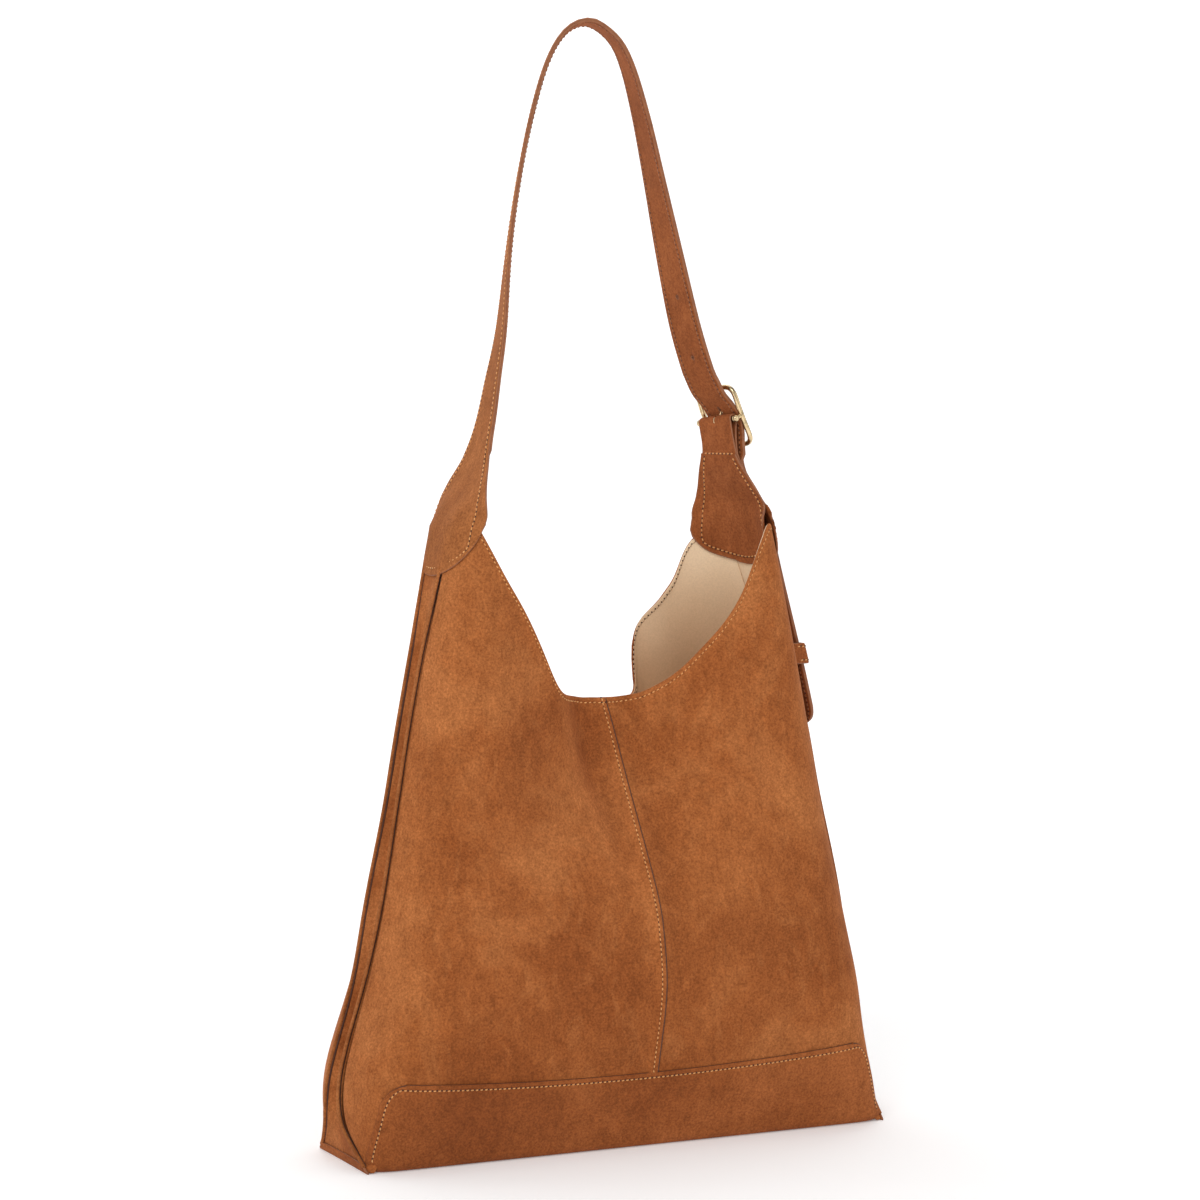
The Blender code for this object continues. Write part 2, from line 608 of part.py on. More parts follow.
def make_strap(suede):
    layers = LAYER + GAP
    path = [row for row in STRAP_PATH] + right_rows()
    tail_off = 2 * LAYER + GAP * 3.5
    course = Course(path)

    def half(s):
        left = STRAP_WIDTH / 2 + (SWING_RADIUS - STRAP_WIDTH / 2) * (1 - ease(0.0, 0.060, s))
        return left

    count = 58
    stations = [0.0, 0.006, 0.013, 0.021, 0.030] + list(np.linspace(0.040, course.length - 0.046, count - 12)) \
        + list(course.length - np.array([0.039, 0.032, 0.026, 0.020, 0.014, 0.007, 0.0]))
    outer = ribbon("strap_outer", course, half, lambda s: layers, suede, 8, stations, LAYER,
                   (SWING_RADIUS, STRAP_WIDTH / 2))
    inner = ribbon("strap_inner", course, half, lambda s: -GAP, suede, 8, stations, LAYER,
                   (SWING_RADIUS, STRAP_WIDTH / 2))
    centre, along, out, width = bar_frame()
    prong_hole = Matrix.Translation(from_bar(0.0058, 0.0060)) @ Matrix((along, width, out)).transposed().to_4x4()
    holes = [rod("cut_prong_hole", prong_hole, 0.0020, 0.014, 2.5, segments=12)]
    buckle_s = float(course.run[np.argmin(np.hypot(course.rows[:, 0] - from_bar(0, 0.0068).x,
                                                   course.rows[:, 1] - from_bar(0, 0.0068).z))])
    for k in (1, 2):
        p, tangent, across, normal = course.at(buckle_s - 0.0062 - k * HOLE_PITCH)
        place = Matrix.Translation(p) @ Matrix((tangent, across, normal)).transposed().to_4x4()
        holes.append(rod(f"cut_hole_{k}", place, HOLE_RADIUS, 0.012, segments=14))
    for obj in (outer, inner):
        for hole in holes:
            boolean(obj, hole, "DIFFERENCE")
    # Tail, below the bend line
    heights = np.linspace(SWING_Z, 0.292, 12)
    rows = []
    for z in heights:
        clear = 0.0060 + (tail_off * 1.08 - 0.0060) * ease(0.452, 0.488, z)
        rows.append((corner_x(z) + BODY_LEAN * z + clear, z, corner_turn(z)))
    tail = Course(rows)
    reach = BUCKLE_REACH

    def tail_sheet(name, off):
        def point(u, v):
            p = 2 * u - 1
            start = math.sqrt(reach**2 - (p * STRAP_WIDTH / 2 * 0.985) ** 2)
            end = tail.length - 0.016 + math.sqrt(max(1 - p * p, 0)) * 0.016
            spot, _, width_, normal = tail.at(start + (end - start) * v)
            if normal.x < 0:
                normal = -normal
            return spot + width_ * p * STRAP_WIDTH / 2 * 0.985 + normal * off

        return sheet(name, point, 8, 14, suede, 0, LAYER, inside=gusset_inside)

    tail_sheet("tail_outer", layers)
    tail_sheet("tail_inner", -GAP)


def make_chape(suede):
    """The strap end's fold round the buckle's bar: up the inside, over, and down the outside."""
    rows = []
    fold = CHAPE_INSIDE + CHAPE_LAYER / 2
    low_x = corner_x(SWING_Z) + BODY_LEAN * SWING_Z
    flat = (GAP + CHAPE_LAYER) / 2
    base = Vector((low_x, 0, SWING_Z))
    centre, along, out, width = bar_frame()
    for sign in (-1, 1):
        part = [base + out * flat * sign, base.lerp(centre, 0.35) + out * flat * sign,
                centre - along * 0.0085 + out * sign * flat * 1.25, centre - along * 0.0045 + out * sign * fold * 0.80]
        part += [centre + along * fold * math.sin(a) + out * fold * sign * math.cos(a)
                 for a in ([0.0, 0.5, 1.05] if sign < 0 else [math.pi / 2, 1.05, 0.5, 0.0][0:4])]
        rows += part if sign < 0 else part[4:] + part[:4][::-1]
    rows = [(p.x, p.z, RIGHT_TURN) for p in rows]
    course = Course(rows)
    middle = course.length / 2
    wide, narrow = SWING_RADIUS, 0.0158

    def half(s):
        return narrow + (wide - narrow) * ease(0.008, middle, abs(s - middle))

    stations = list(np.linspace(0, middle - 0.010, 6)) + list(np.linspace(middle - 0.007, middle + 0.007, 11)) \
        + list(np.linspace(middle + 0.010, course.length, 6))

    def point(u, v):
        p = 2 * u - 1
        k = v * (len(stations) - 1)
        i = min(int(k), len(stations) - 2)
        s = stations[i] + (stations[i + 1] - stations[i]) * (k - i)
        dip = math.sqrt(max(1 - p * p, 0)) * SWING_RADIUS
        s += dip * (max(1 - (course.length - s) / 0.016, 0) - max(1 - s / 0.016, 0))
        spot, _, across, normal = course.at(s)
        return spot + across * p * half(s)

    obj = sheet("chape", point, 10, len(stations) - 1, suede, -CHAPE_LAYER / 2, CHAPE_LAYER,
                inside=lambda p: centre - along * 0.004 if (p - centre).dot(along) > -0.006 else
                base.lerp(centre, max(min((p.z - base.z) / (centre.z - base.z), 1), -1.2)))
    slot = Matrix.Translation(from_bar(0.0030, 0.0)) @ Matrix((along, width, out)).transposed().to_4x4()
    boolean(obj, block("cut_prong_slot", (0.0150, 0.0036, 0.020), slot), "DIFFERENCE")


def make_buckle(brass):
    points = []
    count = 40
    for i in range(count):
        a = 2 * math.pi * i / count
        power = 0.36
        w = BUCKLE_HALF_WIDTH * math.copysign(abs(math.cos(a)) ** power, math.cos(a))
        u = BUCKLE_HALF_LENGTH * math.copysign(abs(math.sin(a)) ** power, math.sin(a))
        points.append(from_bar(u, BUCKLE_ARCH * (1 - math.cos(math.pi * u / BUCKLE_HALF_LENGTH)) / 2, w))
    loop = as_mesh(tube("buckle_frame", points, FRAME_WIRE, brass, True, 3))
    centre, along, out, width = bar_frame()
    bar = Matrix.Translation(centre) @ Matrix((along, out, width)).transposed().to_4x4()
    cut = rod("cut_bar", bar, BAR_RADIUS, 2 * BUCKLE_HALF_WIDTH - 0.0002, segments=14)
    boolean(loop, cut, "UNION")
    # Prong: a loop on the bar, up through the strap's hole, to rest on the frame's upper end
    ring = BAR_RADIUS + PRONG_RADIUS + 0.00025
    path = [from_bar(ring * math.cos(a), ring * math.sin(a)) for a in np.radians(np.linspace(118, 400, 16))]
    path = path[::1]
    path = [from_bar(ring * math.cos(a), ring * math.sin(a)) for a in np.radians(np.linspace(425, 140, 17))][::-1]
    path += [from_bar(u, n) for u, n in ((0.0030, 0.0044), (0.0052, 0.0066), (0.0080, 0.0096), (0.0115, 0.0119),
                                         (0.0160, 0.0128), (0.0205, 0.0130), (0.0240, 0.0128), (0.0258, 0.0125))]
    tube("buckle_prong", path, PRONG_RADIUS, brass, False, 2)


def make_keeper(suede):
    outer = 0.0060 + LAYER + 2 * GAP + 0.0010
    spots = [(-0.0182, -0.0014), (-0.0182, outer - 0.0034), (-0.0174, outer - 0.0008), (-0.0158, outer),
             (0, outer + 0.0003), (0.0158, outer), (0.0174, outer - 0.0008), (0.0182, outer - 0.0034),
             (0.0182, -0.0014)]

    def point(u, v):
        z = KEEPER_Z + (v - 0.5) * KEEPER_HEIGHT
        k = u * (len(spots) - 1)
        i = min(int(k), len(spots) - 2)
        y = spots[i][0] + (spots[i + 1][0] - spots[i][0]) * (k - i)
        x = spots[i][1] + (spots[i + 1][1] - spots[i][1]) * (k - i)
        return Vector((corner_x(z) + BODY_LEAN * z + x, y, z))

    sheet("keeper_loop", point, len(spots) - 1, 2, suede, -LAYER, LAYER, inside=gusset_inside)


def make_closure(brass, fabric):
    for face, word in ((-1, "front"), (1, "back")):
        place = Matrix.Translation((BODY_LEAN * 0.30, face * 0.0019, 0.298)) @ Matrix.Rotation(math.pi / 2, 4, "X")
        rod(f"snap_{word}", place, 0.0075, 0.0030, made_of=brass, segments=24)

    def point(u, v):
        z = 0.105 + 0.105 * v
        return panel_point((2 * u - 1) * 0.44, z, 1)

    sheet("slip_pocket", point, 8, 6, fabric, LINING_DEPTH + LINING + GAP + FACET, LINING, inside=body_axis)


for old in list(bpy.data.objects):
    bpy.data.objects.remove(old)
PARTS = bpy.data.collections.new("hobo_bag")
CUTTERS = bpy.data.collections.new("cutters")
bpy.context.scene.collection.children.link(PARTS)
bpy.context.scene.collection.children.link(CUTTERS)
SUEDE_MATERIAL = material("suede", SUEDE_TAN, 0.95)
LINING_MATERIAL = material("lining", LINING_BEIGE, 0.9)
BOARD_MATERIAL = material("board", BOARD_GREY, 0.8)
BRASS_MATERIAL = material("brass", BRASS, 0.25, 1.0)
make_shell(SUEDE_MATERIAL)
make_welts(SUEDE_MATERIAL)
make_lining(LINING_MATERIAL)
make_base(SUEDE_MATERIAL, LINING_MATERIAL, BOARD_MATERIAL)
make_leaves(SUEDE_MATERIAL)
make_strap(SUEDE_MATERIAL)
make_chape(SUEDE_MATERIAL)
make_buckle(BRASS_MATERIAL)
make_keeper(SUEDE_MATERIAL)
make_closure(BRASS_MATERIAL, LINING_MATERIAL)
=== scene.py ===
"""Suede hobo bag: looks, camera and light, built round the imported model."""

import math

import bpy
import numpy as np
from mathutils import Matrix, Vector


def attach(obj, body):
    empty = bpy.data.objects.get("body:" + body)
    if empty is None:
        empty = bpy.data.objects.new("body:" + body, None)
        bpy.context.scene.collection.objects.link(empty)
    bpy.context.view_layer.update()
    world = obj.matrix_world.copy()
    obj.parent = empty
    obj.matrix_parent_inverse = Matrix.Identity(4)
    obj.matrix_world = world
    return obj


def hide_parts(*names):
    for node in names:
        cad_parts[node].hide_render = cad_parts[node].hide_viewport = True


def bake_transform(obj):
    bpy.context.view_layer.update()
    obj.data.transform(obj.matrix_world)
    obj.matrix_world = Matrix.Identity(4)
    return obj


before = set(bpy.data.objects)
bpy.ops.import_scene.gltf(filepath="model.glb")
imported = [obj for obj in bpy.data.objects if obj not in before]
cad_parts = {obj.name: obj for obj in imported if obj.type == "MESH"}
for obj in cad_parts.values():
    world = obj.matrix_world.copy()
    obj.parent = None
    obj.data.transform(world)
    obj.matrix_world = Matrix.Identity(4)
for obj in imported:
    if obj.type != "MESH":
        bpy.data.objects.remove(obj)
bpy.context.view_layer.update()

# Shape tables, as rows of height and value --------------------------------------------------------
SEAM_X = [(0, 0.2025), (0.035, 0.2074), (0.085, 0.2002), (0.147, 0.1866), (0.20, 0.1755), (0.25, 0.1655),
          (0.30, 0.1565), (0.35, 0.1465), (0.40, 0.1355), (0.443, 0.126)]
SEAM_Y = [(0, 0.0465), (0.012, 0.031), (0.03, 0.0155), (0.06, 0.010), (0.11, 0.009), (0.18, 0.013),
          (0.25, 0.010), (0.35, 0.0095), (0.40, 0.0125), (0.443, 0.0150)]
FOLD = [(0, 0), (0.03, 0.005), (0.08, 0.011), (0.18, 0.009), (0.30, 0.011), (0.355, 0.007),
        (0.402, 0.0012), (0.443, 0.0006)]
DEPTH = [(0, 0.0465), (0.05, 0.060), (0.11, 0.067), (0.16, 0.063), (0.21, 0.056), (0.30, 0.050),
         (0.443, 0.050)]
ROUNDING = [(0, 0.006), (0.05, 0.009), (0.15, 0.016), (0.25, 0.014), (0.35, 0.011), (0.443, 0.0115)]
CENTRE_SEAM = [(0, 0.009), (0.055, 0.0155), (0.11, 0.015), (0.18, 0.0115), (0.25, 0.008), (0.285, 0.004),
               (0.32, -0.005)]
# side position, height: the right-hand half of the back's mouth, which has slumped outward
BACK_MOUTH = [(0.03, 0.314), (0.24, 0.3148), (0.30, 0.318), (0.33, 0.328), (0.345, 0.342), (0.37, 0.355),
              (0.45, 0.369), (0.62, 0.3865), (0.73, 0.400), (0.86, 0.4255), (0.92, 0.431), (1.0, 0.431)]
MOUTH_HEIGHT = 0.314
CORNER_HEIGHT = 0.441
CORNER_X = 0.113
MOUTH_FLAT_X = 0.020
MOUTH_CURVE = 1.7
LEAN = -0.008
PINCH = 0.0415
PINCH_HALF_WIDTH = 0.0585
SUEDE = 0.0016
LINING_DEPTH = 0.0030
SWING_Z = 0.490
TURN_SLOPE = 0.30
LEFT_CORNER = [(0.443, 0.1255), (0.455, 0.118), (0.469, 0.108), (0.483, 0.101), (0.50, 0.0955)]
RIGHT_CORNER = [(0.443, 0.126), (0.455, 0.120), (0.469, 0.111), (0.483, 0.103), (0.50, 0.0955)]
LEFT_WIDTH = [(0.40, 0.045), (0.448, 0.045), (0.455, 0.043), (0.469, 0.035), (0.483, 0.026), (0.490, 0.022),
              (0.500, 0.019), (0.510, 0.0175), (0.550, 0.016)]
RIGHT_WIDTH = [(0.40, 0.044), (0.446, 0.042), (0.462, 0.030), (0.476, 0.023), (0.490, 0.017), (0.497, 0.016),
               (0.515, 0.016)]
STRAP_PATH = [(-0.108, 0.490, 0), (-0.099, 0.516, 4), (-0.090, 0.545, 8), (-0.0835, 0.580, 14),
              (-0.0775, 0.636, 21), (-0.0700, 0.684, 23), (-0.0600, 0.729, 24), (-0.0475, 0.768, 23),
              (-0.0330, 0.7895, 22), (-0.0150, 0.7960, 20), (0.0030, 0.7865, 16), (0.0145, 0.768, 12),
              (0.0260, 0.731, 7), (0.0372, 0.684, 1), (0.0490, 0.633, -7), (0.0610, 0.584, -13),
              (0.0715, 0.552, -15)]
BAR = (0.0878, 0.5145)
BAR_LEAN = math.radians(23)
LAYER = 0.0015
STITCH = 0.0035               # from one needle hole to the next
THREAD_RADIUS = 0.00044
THREAD_SHARE = 0.58           # how much of the pitch shows as thread
THREAD_SLANT = 0.16


def curve(table, at):
    """A table read with a smooth curve through its rows; at may be an array."""
    rows = np.array(table, float)
    xs, ys = rows[:, 0], rows[:, 1]
    slopes = np.gradient(ys, xs)
    slopes[1:-1] = (ys[2:] - ys[:-2]) / (xs[2:] - xs[:-2])
    at = np.clip(np.asarray(at, float), xs[0], xs[-1])
    i = np.clip(np.searchsorted(xs, at) - 1, 0, len(xs) - 2)
    step = xs[i + 1] - xs[i]
    t = (at - xs[i]) / step
    return ((2 * t**3 - 3 * t**2 + 1) * ys[i] + (t**3 - 2 * t**2 + t) * step * slopes[i]
            + (3 * t**2 - 2 * t**3) * ys[i + 1] + (t**3 - t**2) * step * slopes[i + 1])


def ease(low, high, at):
    t = np.clip((np.asarray(at, float) - low) / (high - low), 0, 1)
    return t * t * (3 - 2 * t)


def bell(x, centre, width):
    return np.exp(-(((np.asarray(x, float) - centre) / width) ** 2))


def points(x, y, z):
    return np.stack(np.broadcast_arrays(np.asarray(x, float), y, z), axis=-1)


def soften(path, times):
    """Takes the corners off a line in place, keeping its ends."""
    for _ in range(times):
        path[1:-1] = (path[:-2] + 2 * path[1:-1] + path[2:]) / 4


def lean(z):
    """The body leans to the left with height, and its lower part bulges that way too."""
    return LEAN * z - 0.006 * bell(z, 0.058, 0.045)


# Body surfaces ------------------------------------------------------------------------------------
def half_depth(x, z):
    inset = np.maximum(curve(SEAM_X, z) - np.abs(x), 0)
    seam, depth = curve(SEAM_Y, z), curve(DEPTH, z)
    pinch = PINCH * ease(0.16, MOUTH_HEIGHT - 0.02, z) * bell(x, 0, PINCH_HALF_WIDTH)
    return seam + (depth - seam) * (1 - np.exp(-inset / curve(ROUNDING, z))) - pinch


def wander(x, z, seed):
    """Slow unevenness of soft leather, about 1 high."""
    total = np.zeros(np.broadcast(np.asarray(x), np.asarray(z)).shape)
    rng = np.random.default_rng(seed)
    for _ in range(14):
        angle = rng.uniform(0, math.tau)
        wave = rng.uniform(18, 75)
        total = total + np.sin(wave * (np.cos(angle) * x + np.sin(angle) * z) + rng.uniform(0, math.tau)) / (
            1 + wave / 30)
    return total / 3.2


def crease_x(z):
    """The fold that runs down to the right from the low point of the front's mouth."""
    return -0.031 + (0.33 - z) * 0.22


def drape(x, z, face):
    """How far the soft panel stands proud of its plain shape."""
    inner = ease(0.004, 0.030, curve(SEAM_X, z) - np.abs(x)) * ease(0.062, 0.10, z)
    lift = 0.0011 * wander(x, z, 3 if face < 0 else 8) * inner
    if face < 0:
        line = crease_x(z)
        lift -= 0.0048 * bell(x, line, 0.010) * ease(0.175, 0.27, z)
        lift += 0.0028 * bell(x, line - 0.024, 0.014) * ease(0.175, 0.27, z)
        seam = curve(CENTRE_SEAM, z)
        lift -= 0.0034 * bell(x, seam + 0.015, 0.009) * ease(0.13, 0.23, z)
        lift += 0.0014 * bell(x, seam - 0.004, 0.007) * ease(0.08, 0.18, z)
        lift -= 0.0018 * bell(x, 0.150 - 0.25 * (z - 0.10), 0.010) * ease(0.13, 0.25, z) * ease(0.40, 0.33, z)
        lift -= 0.0022 * bell(x, -0.118 - 0.05 * (z - 0.3), 0.011) * ease(0.22, 0.30, z) * ease(0.43, 0.38, z)
    else:
        lift += 0.0190 * bell(x, 0.050, 0.021) * ease(0.24, 0.33, z) * ease(0.43, 0.37, z)
    return lift


def panel_at(s, z, face, lift=0.0):
    """Outside of the front (face -1) or back (face 1) at side position s, -1 to 1 between the seams."""
    x = s * curve(SEAM_X, z)
    y = face * (half_depth(x, z) + drape(x, z, face) + lift)
    return points(x + lean(z), y, z)


def mouth_height(s, face):
    """Height of the mouth's edge, which isn't quite alike on the left and right, nor on the front and back."""
    z = np.full(np.shape(s), CORNER_HEIGHT)
    if face < 0:
        raised = (0.0055 * bell(s, -0.57, 0.15) - 0.0046 * bell(s, -0.33, 0.09) + 0.0024 * bell(s, -0.18, 0.09)
                  + 0.0036 * bell(s, -0.05, 0.14) + 0.0060 * bell(s, 0.19, 0.12) + 0.0072 * bell(s, 0.40, 0.16)
                  + 0.0112 * bell(s, 0.76, 0.15) - 0.0045 * ease(0.82, 0.92, s))
    else:
        raised = 0.0
    for _ in range(40):
        rise = np.maximum(np.abs(s) * curve(SEAM_X, z) - MOUTH_FLAT_X, 0) / (CORNER_X - MOUTH_FLAT_X)
        target = MOUTH_HEIGHT + (CORNER_HEIGHT - MOUTH_HEIGHT) * rise**MOUTH_CURVE
        z = z + 0.5 * (np.minimum(target, CORNER_HEIGHT) - z)
    z = np.minimum(z + raised, CORNER_HEIGHT)
    return z if face < 0 else z + ease(0.03, 0.10, s) * (curve(BACK_MOUTH, s) - z)


def gusset_at(a, z, side):
    x = curve(SEAM_X, z) - curve(FOLD, z) * (1 - a * a)
    x = x + 0.0009 * wander(a * 0.02 + 0.5 * side, z, 21) * (1 - a * a)
    return points(side * x + lean(z), a * curve(SEAM_Y, z), z)


# Mesh building ------------------------------------------------------------------------------------
def shift_right_corner(p):
    """The upper right-hand corner of the bag is turned a little, with the strap that it hangs from."""
    p = p.copy()
    weight = ease(0.27, 0.44, p[..., 2]) * ease(0.0, 0.09, p[..., 0])
    p[..., 0] -= weight * TURN_SLOPE * np.maximum(p[..., 1] + 0.034, -0.01)
    return p


def add_mesh(name, verts, faces, materials, face_slots=None):
    mesh = bpy.data.meshes.new(name)
    mesh.from_pydata(np.asarray(verts, float).reshape(-1, 3).tolist(), [], [tuple(f) for f in faces])
    for m in materials:
        mesh.materials.append(m)
    if face_slots is not None:
        mesh.polygons.foreach_set("material_index", np.asarray(face_slots, np.int32))
    mesh.polygons.foreach_set("use_smooth", np.ones(len(mesh.polygons), bool))
    mesh.update()
    obj = bpy.data.objects.new(name, mesh)
    bpy.context.scene.collection.objects.link(obj)
    return obj


def grid_normals(p, inside):
    """Unit normals of a grid of points, pointing away from inside."""
    du = np.gradient(p, axis=1)
    dv = np.gradient(p, axis=0)
    n = np.cross(du, dv)
    n /= np.linalg.norm(n, axis=-1, keepdims=True) + 1e-12
    sign = np.sign(np.sum((p - inside) * n))
    return n * (sign if sign else 1.0)


def skin(name, p, inside, materials, thickness=SUEDE, edge_slot=0):
    """A closed sheet with rounded edges: p is the grid of its outer face, and inside is on its other side."""
    rim = 3
    rows, cols, _ = p.shape
    n = grid_normals(p, inside)
    q = p - n * thickness
    verts = [p.reshape(-1, 3), q.reshape(-1, 3)]
    index = np.arange(rows * cols).reshape(rows, cols)
    outer = np.stack([index[:-1, :-1], index[:-1, 1:], index[1:, 1:], index[1:, :-1]], -1).reshape(-1, 4)
    a, b, c = p[0, 0], p[0, 1], p[1, 1]
    if np.dot(np.cross(b - a, c - a), n[0, 0]) < 0:
        outer = outer[:, ::-1]
    inner = outer[:, ::-1] + rows * cols
    ring = np.concatenate([index[0, :-1], index[:-1, -1], index[-1, :0:-1], index[:0:-1, 0]])
    pr, nr = p.reshape(-1, 3)[ring], n.reshape(-1, 3)[ring]
    along = np.roll(pr, -1, 0) - np.roll(pr, 1, 0)
    away = np.cross(along, nr)
    away /= np.linalg.norm(away, axis=-1, keepdims=True) + 1e-12
    inward = np.concatenate([p[1, :-1] - p[0, :-1], p[:-1, -2] - p[:-1, -1],
                             p[-2, :0:-1] - p[-1, :0:-1], p[:0:-1, 1] - p[:0:-1, 0]])
    away *= -np.sign(np.sum(away * inward, -1, keepdims=True))
    loops = [ring]
    base = 2 * rows * cols
    middle = pr - nr * thickness / 2
    for k in range(1, rim + 1):
        angle = math.pi * k / (rim + 1)
        verts.append(middle + nr * (thickness / 2 * math.cos(angle))
                     + away * (thickness / 2 * math.sin(angle)))
        loops.append(np.arange(len(ring)) + base)
        base += len(ring)
    loops.append(ring + rows * cols)
    side = np.concatenate([np.stack([low, np.roll(low, -1), np.roll(high, -1), high], -1)
                           for low, high in zip(loops[:-1], loops[1:])])
    edges = {(f[k], f[(k + 1) % 4]) for f in outer[: cols * 2].tolist() for k in range(4)}
    if (ring[0], ring[1]) in edges:
        side = side[:, ::-1]
    faces = np.concatenate([outer, inner, side])
    slots = np.concatenate([np.zeros(len(outer) + len(inner)), np.full(len(side), edge_slot)])
    return add_mesh(name, np.concatenate(verts), faces.tolist(), materials, slots)


def resample(line, normals):
    """Middles, directions and normals of the stitches along a line."""
    line, normals = np.asarray(line, float), np.asarray(normals, float)
    run = np.concatenate([[0], np.cumsum(np.linalg.norm(np.diff(line, axis=0), axis=1))])
    count = max(int(run[-1] / STITCH), 2)
    at = np.linspace(0, run[-1], count + 1)
    at = (at[:-1] + at[1:]) / 2

    def read(values, where):
        return np.stack([np.interp(where, run, values[:, k]) for k in range(3)], 1)

    tangent = read(line, at + STITCH * 0.3) - read(line, at - STITCH * 0.3)
    tangent /= np.linalg.norm(tangent, axis=1, keepdims=True) + 1e-12
    normal = read(normals, at)
    normal -= tangent * np.sum(tangent * normal, 1, keepdims=True)
    normal /= np.linalg.norm(normal, axis=1, keepdims=True) + 1e-12
    return read(line, at), tangent, normal


def stitches(name, lines, material, body=None):
    """Rows of thread on a surface, with a dark disc of painted shade for each needle hole between them. Each
    line is (points, normals).
    """
    # along, size and height of the rings of one stitch, as shares of its length and radius
    rings = [(-0.5, 0.35, -0.9), (-0.40, 0.85, -0.15), (-0.15, 1.0, 0.30), (0.15, 1.0, 0.30),
             (0.40, 0.85, -0.15), (0.5, 0.35, -0.9)]
    sides, hole_sides = 6, 7
    hole_radius = 0.00066
    verts, faces, slots, base = [], [], [], 0
    for line, normals in lines:
        centre, tangent, normal = resample(line, normals)
        across = np.cross(normal, tangent)
        tangent = tangent * math.cos(THREAD_SLANT) + across * math.sin(THREAD_SLANT)
        across = np.cross(normal, tangent)
        for c, t, n, w in zip(centre, tangent, normal, across):
            for along, size, lift in rings:
                for k in range(sides):
                    a = math.tau * k / sides
                    verts.append(c + t * along * STITCH * THREAD_SHARE
                                 + n * THREAD_RADIUS * (lift + size * math.sin(a))
                                 + w * THREAD_RADIUS * 1.15 * size * math.cos(a))
            for r in range(len(rings) - 1):
                for k in range(sides):
                    a, b = base + r * sides + k, base + r * sides + (k + 1) % sides
                    faces.append((a, a + sides, b + sides, b))
            faces.append([base + k for k in range(sides)])
            last = base + (len(rings) - 1) * sides
            faces.append([last + k for k in reversed(range(sides))])
            base += sides * len(rings)
            slots += [0] * (len(faces) - len(slots))
            # each needle hole is a dark disc of painted shade, just above the surface
            hole = c + t * STITCH / 2
            verts += [hole + n * 0.00009, hole - n * 0.0004]
            for k in range(hole_sides):
                a = math.tau * k / hole_sides
                verts.append(hole + n * 0.00004 + (t * math.cos(a) + w * math.sin(a)) * hole_radius)
            for k in range(hole_sides):
                a, b = base + 2 + k, base + 2 + (k + 1) % hole_sides
                faces += [(base, a, b), (base + 1, b, a)]
            base += 2 + hole_sides
            slots += [1] * (2 * hole_sides)
    obj = add_mesh(name, verts, faces, [material, PAINTED_SHADE], slots)
    if body:
        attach(obj, body)
    return obj


def tube(name, line, radius, material, sides=10, cyclic=False):
    """A round rod along a line; radius may be one number or one for each point."""
    line = np.asarray(line, float)
    count = len(line)
    radii = np.broadcast_to(np.asarray(radius, float), (count,))
    ahead = np.roll(line, -1, 0) - np.roll(line, 1, 0)
    if not cyclic:
        ahead[0], ahead[-1] = line[1] - line[0], line[-1] - line[-2]
    ahead /= np.linalg.norm(ahead, axis=1, keepdims=True) + 1e-12
    side = np.cross(ahead[0], (0.3, 0.9, 0.2))
    verts, faces = [], []
    for i in range(count):
        side = side - ahead[i] * np.dot(side, ahead[i])
        side /= np.linalg.norm(side)
        other = np.cross(ahead[i], side)
        for k in range(sides):
            a = math.tau * k / sides
            verts.append(line[i] + radii[i] * (side * math.cos(a) + other * math.sin(a)))
    twist = 0
    if cyclic:
        first, last = np.array(verts[:sides]), np.array(verts[-sides:])
        twist = int(np.argmin([np.linalg.norm(np.roll(first, -k, 0) - last) for k in range(sides)]))
    for i in range(count if cyclic else count - 1):
        j = (i + 1) % count
        move = twist if cyclic and i == count - 1 else 0
        for k in range(sides):
            faces.append((i * sides + k, i * sides + (k + 1) % sides, j * sides + (k + 1 + move) % sides,
                          j * sides + (k + move) % sides))
    if not cyclic:
        faces.append(list(reversed(range(sides))))
        faces.append([(count - 1) * sides + k for k in range(sides)])
    return add_mesh(name, verts, faces, [material])


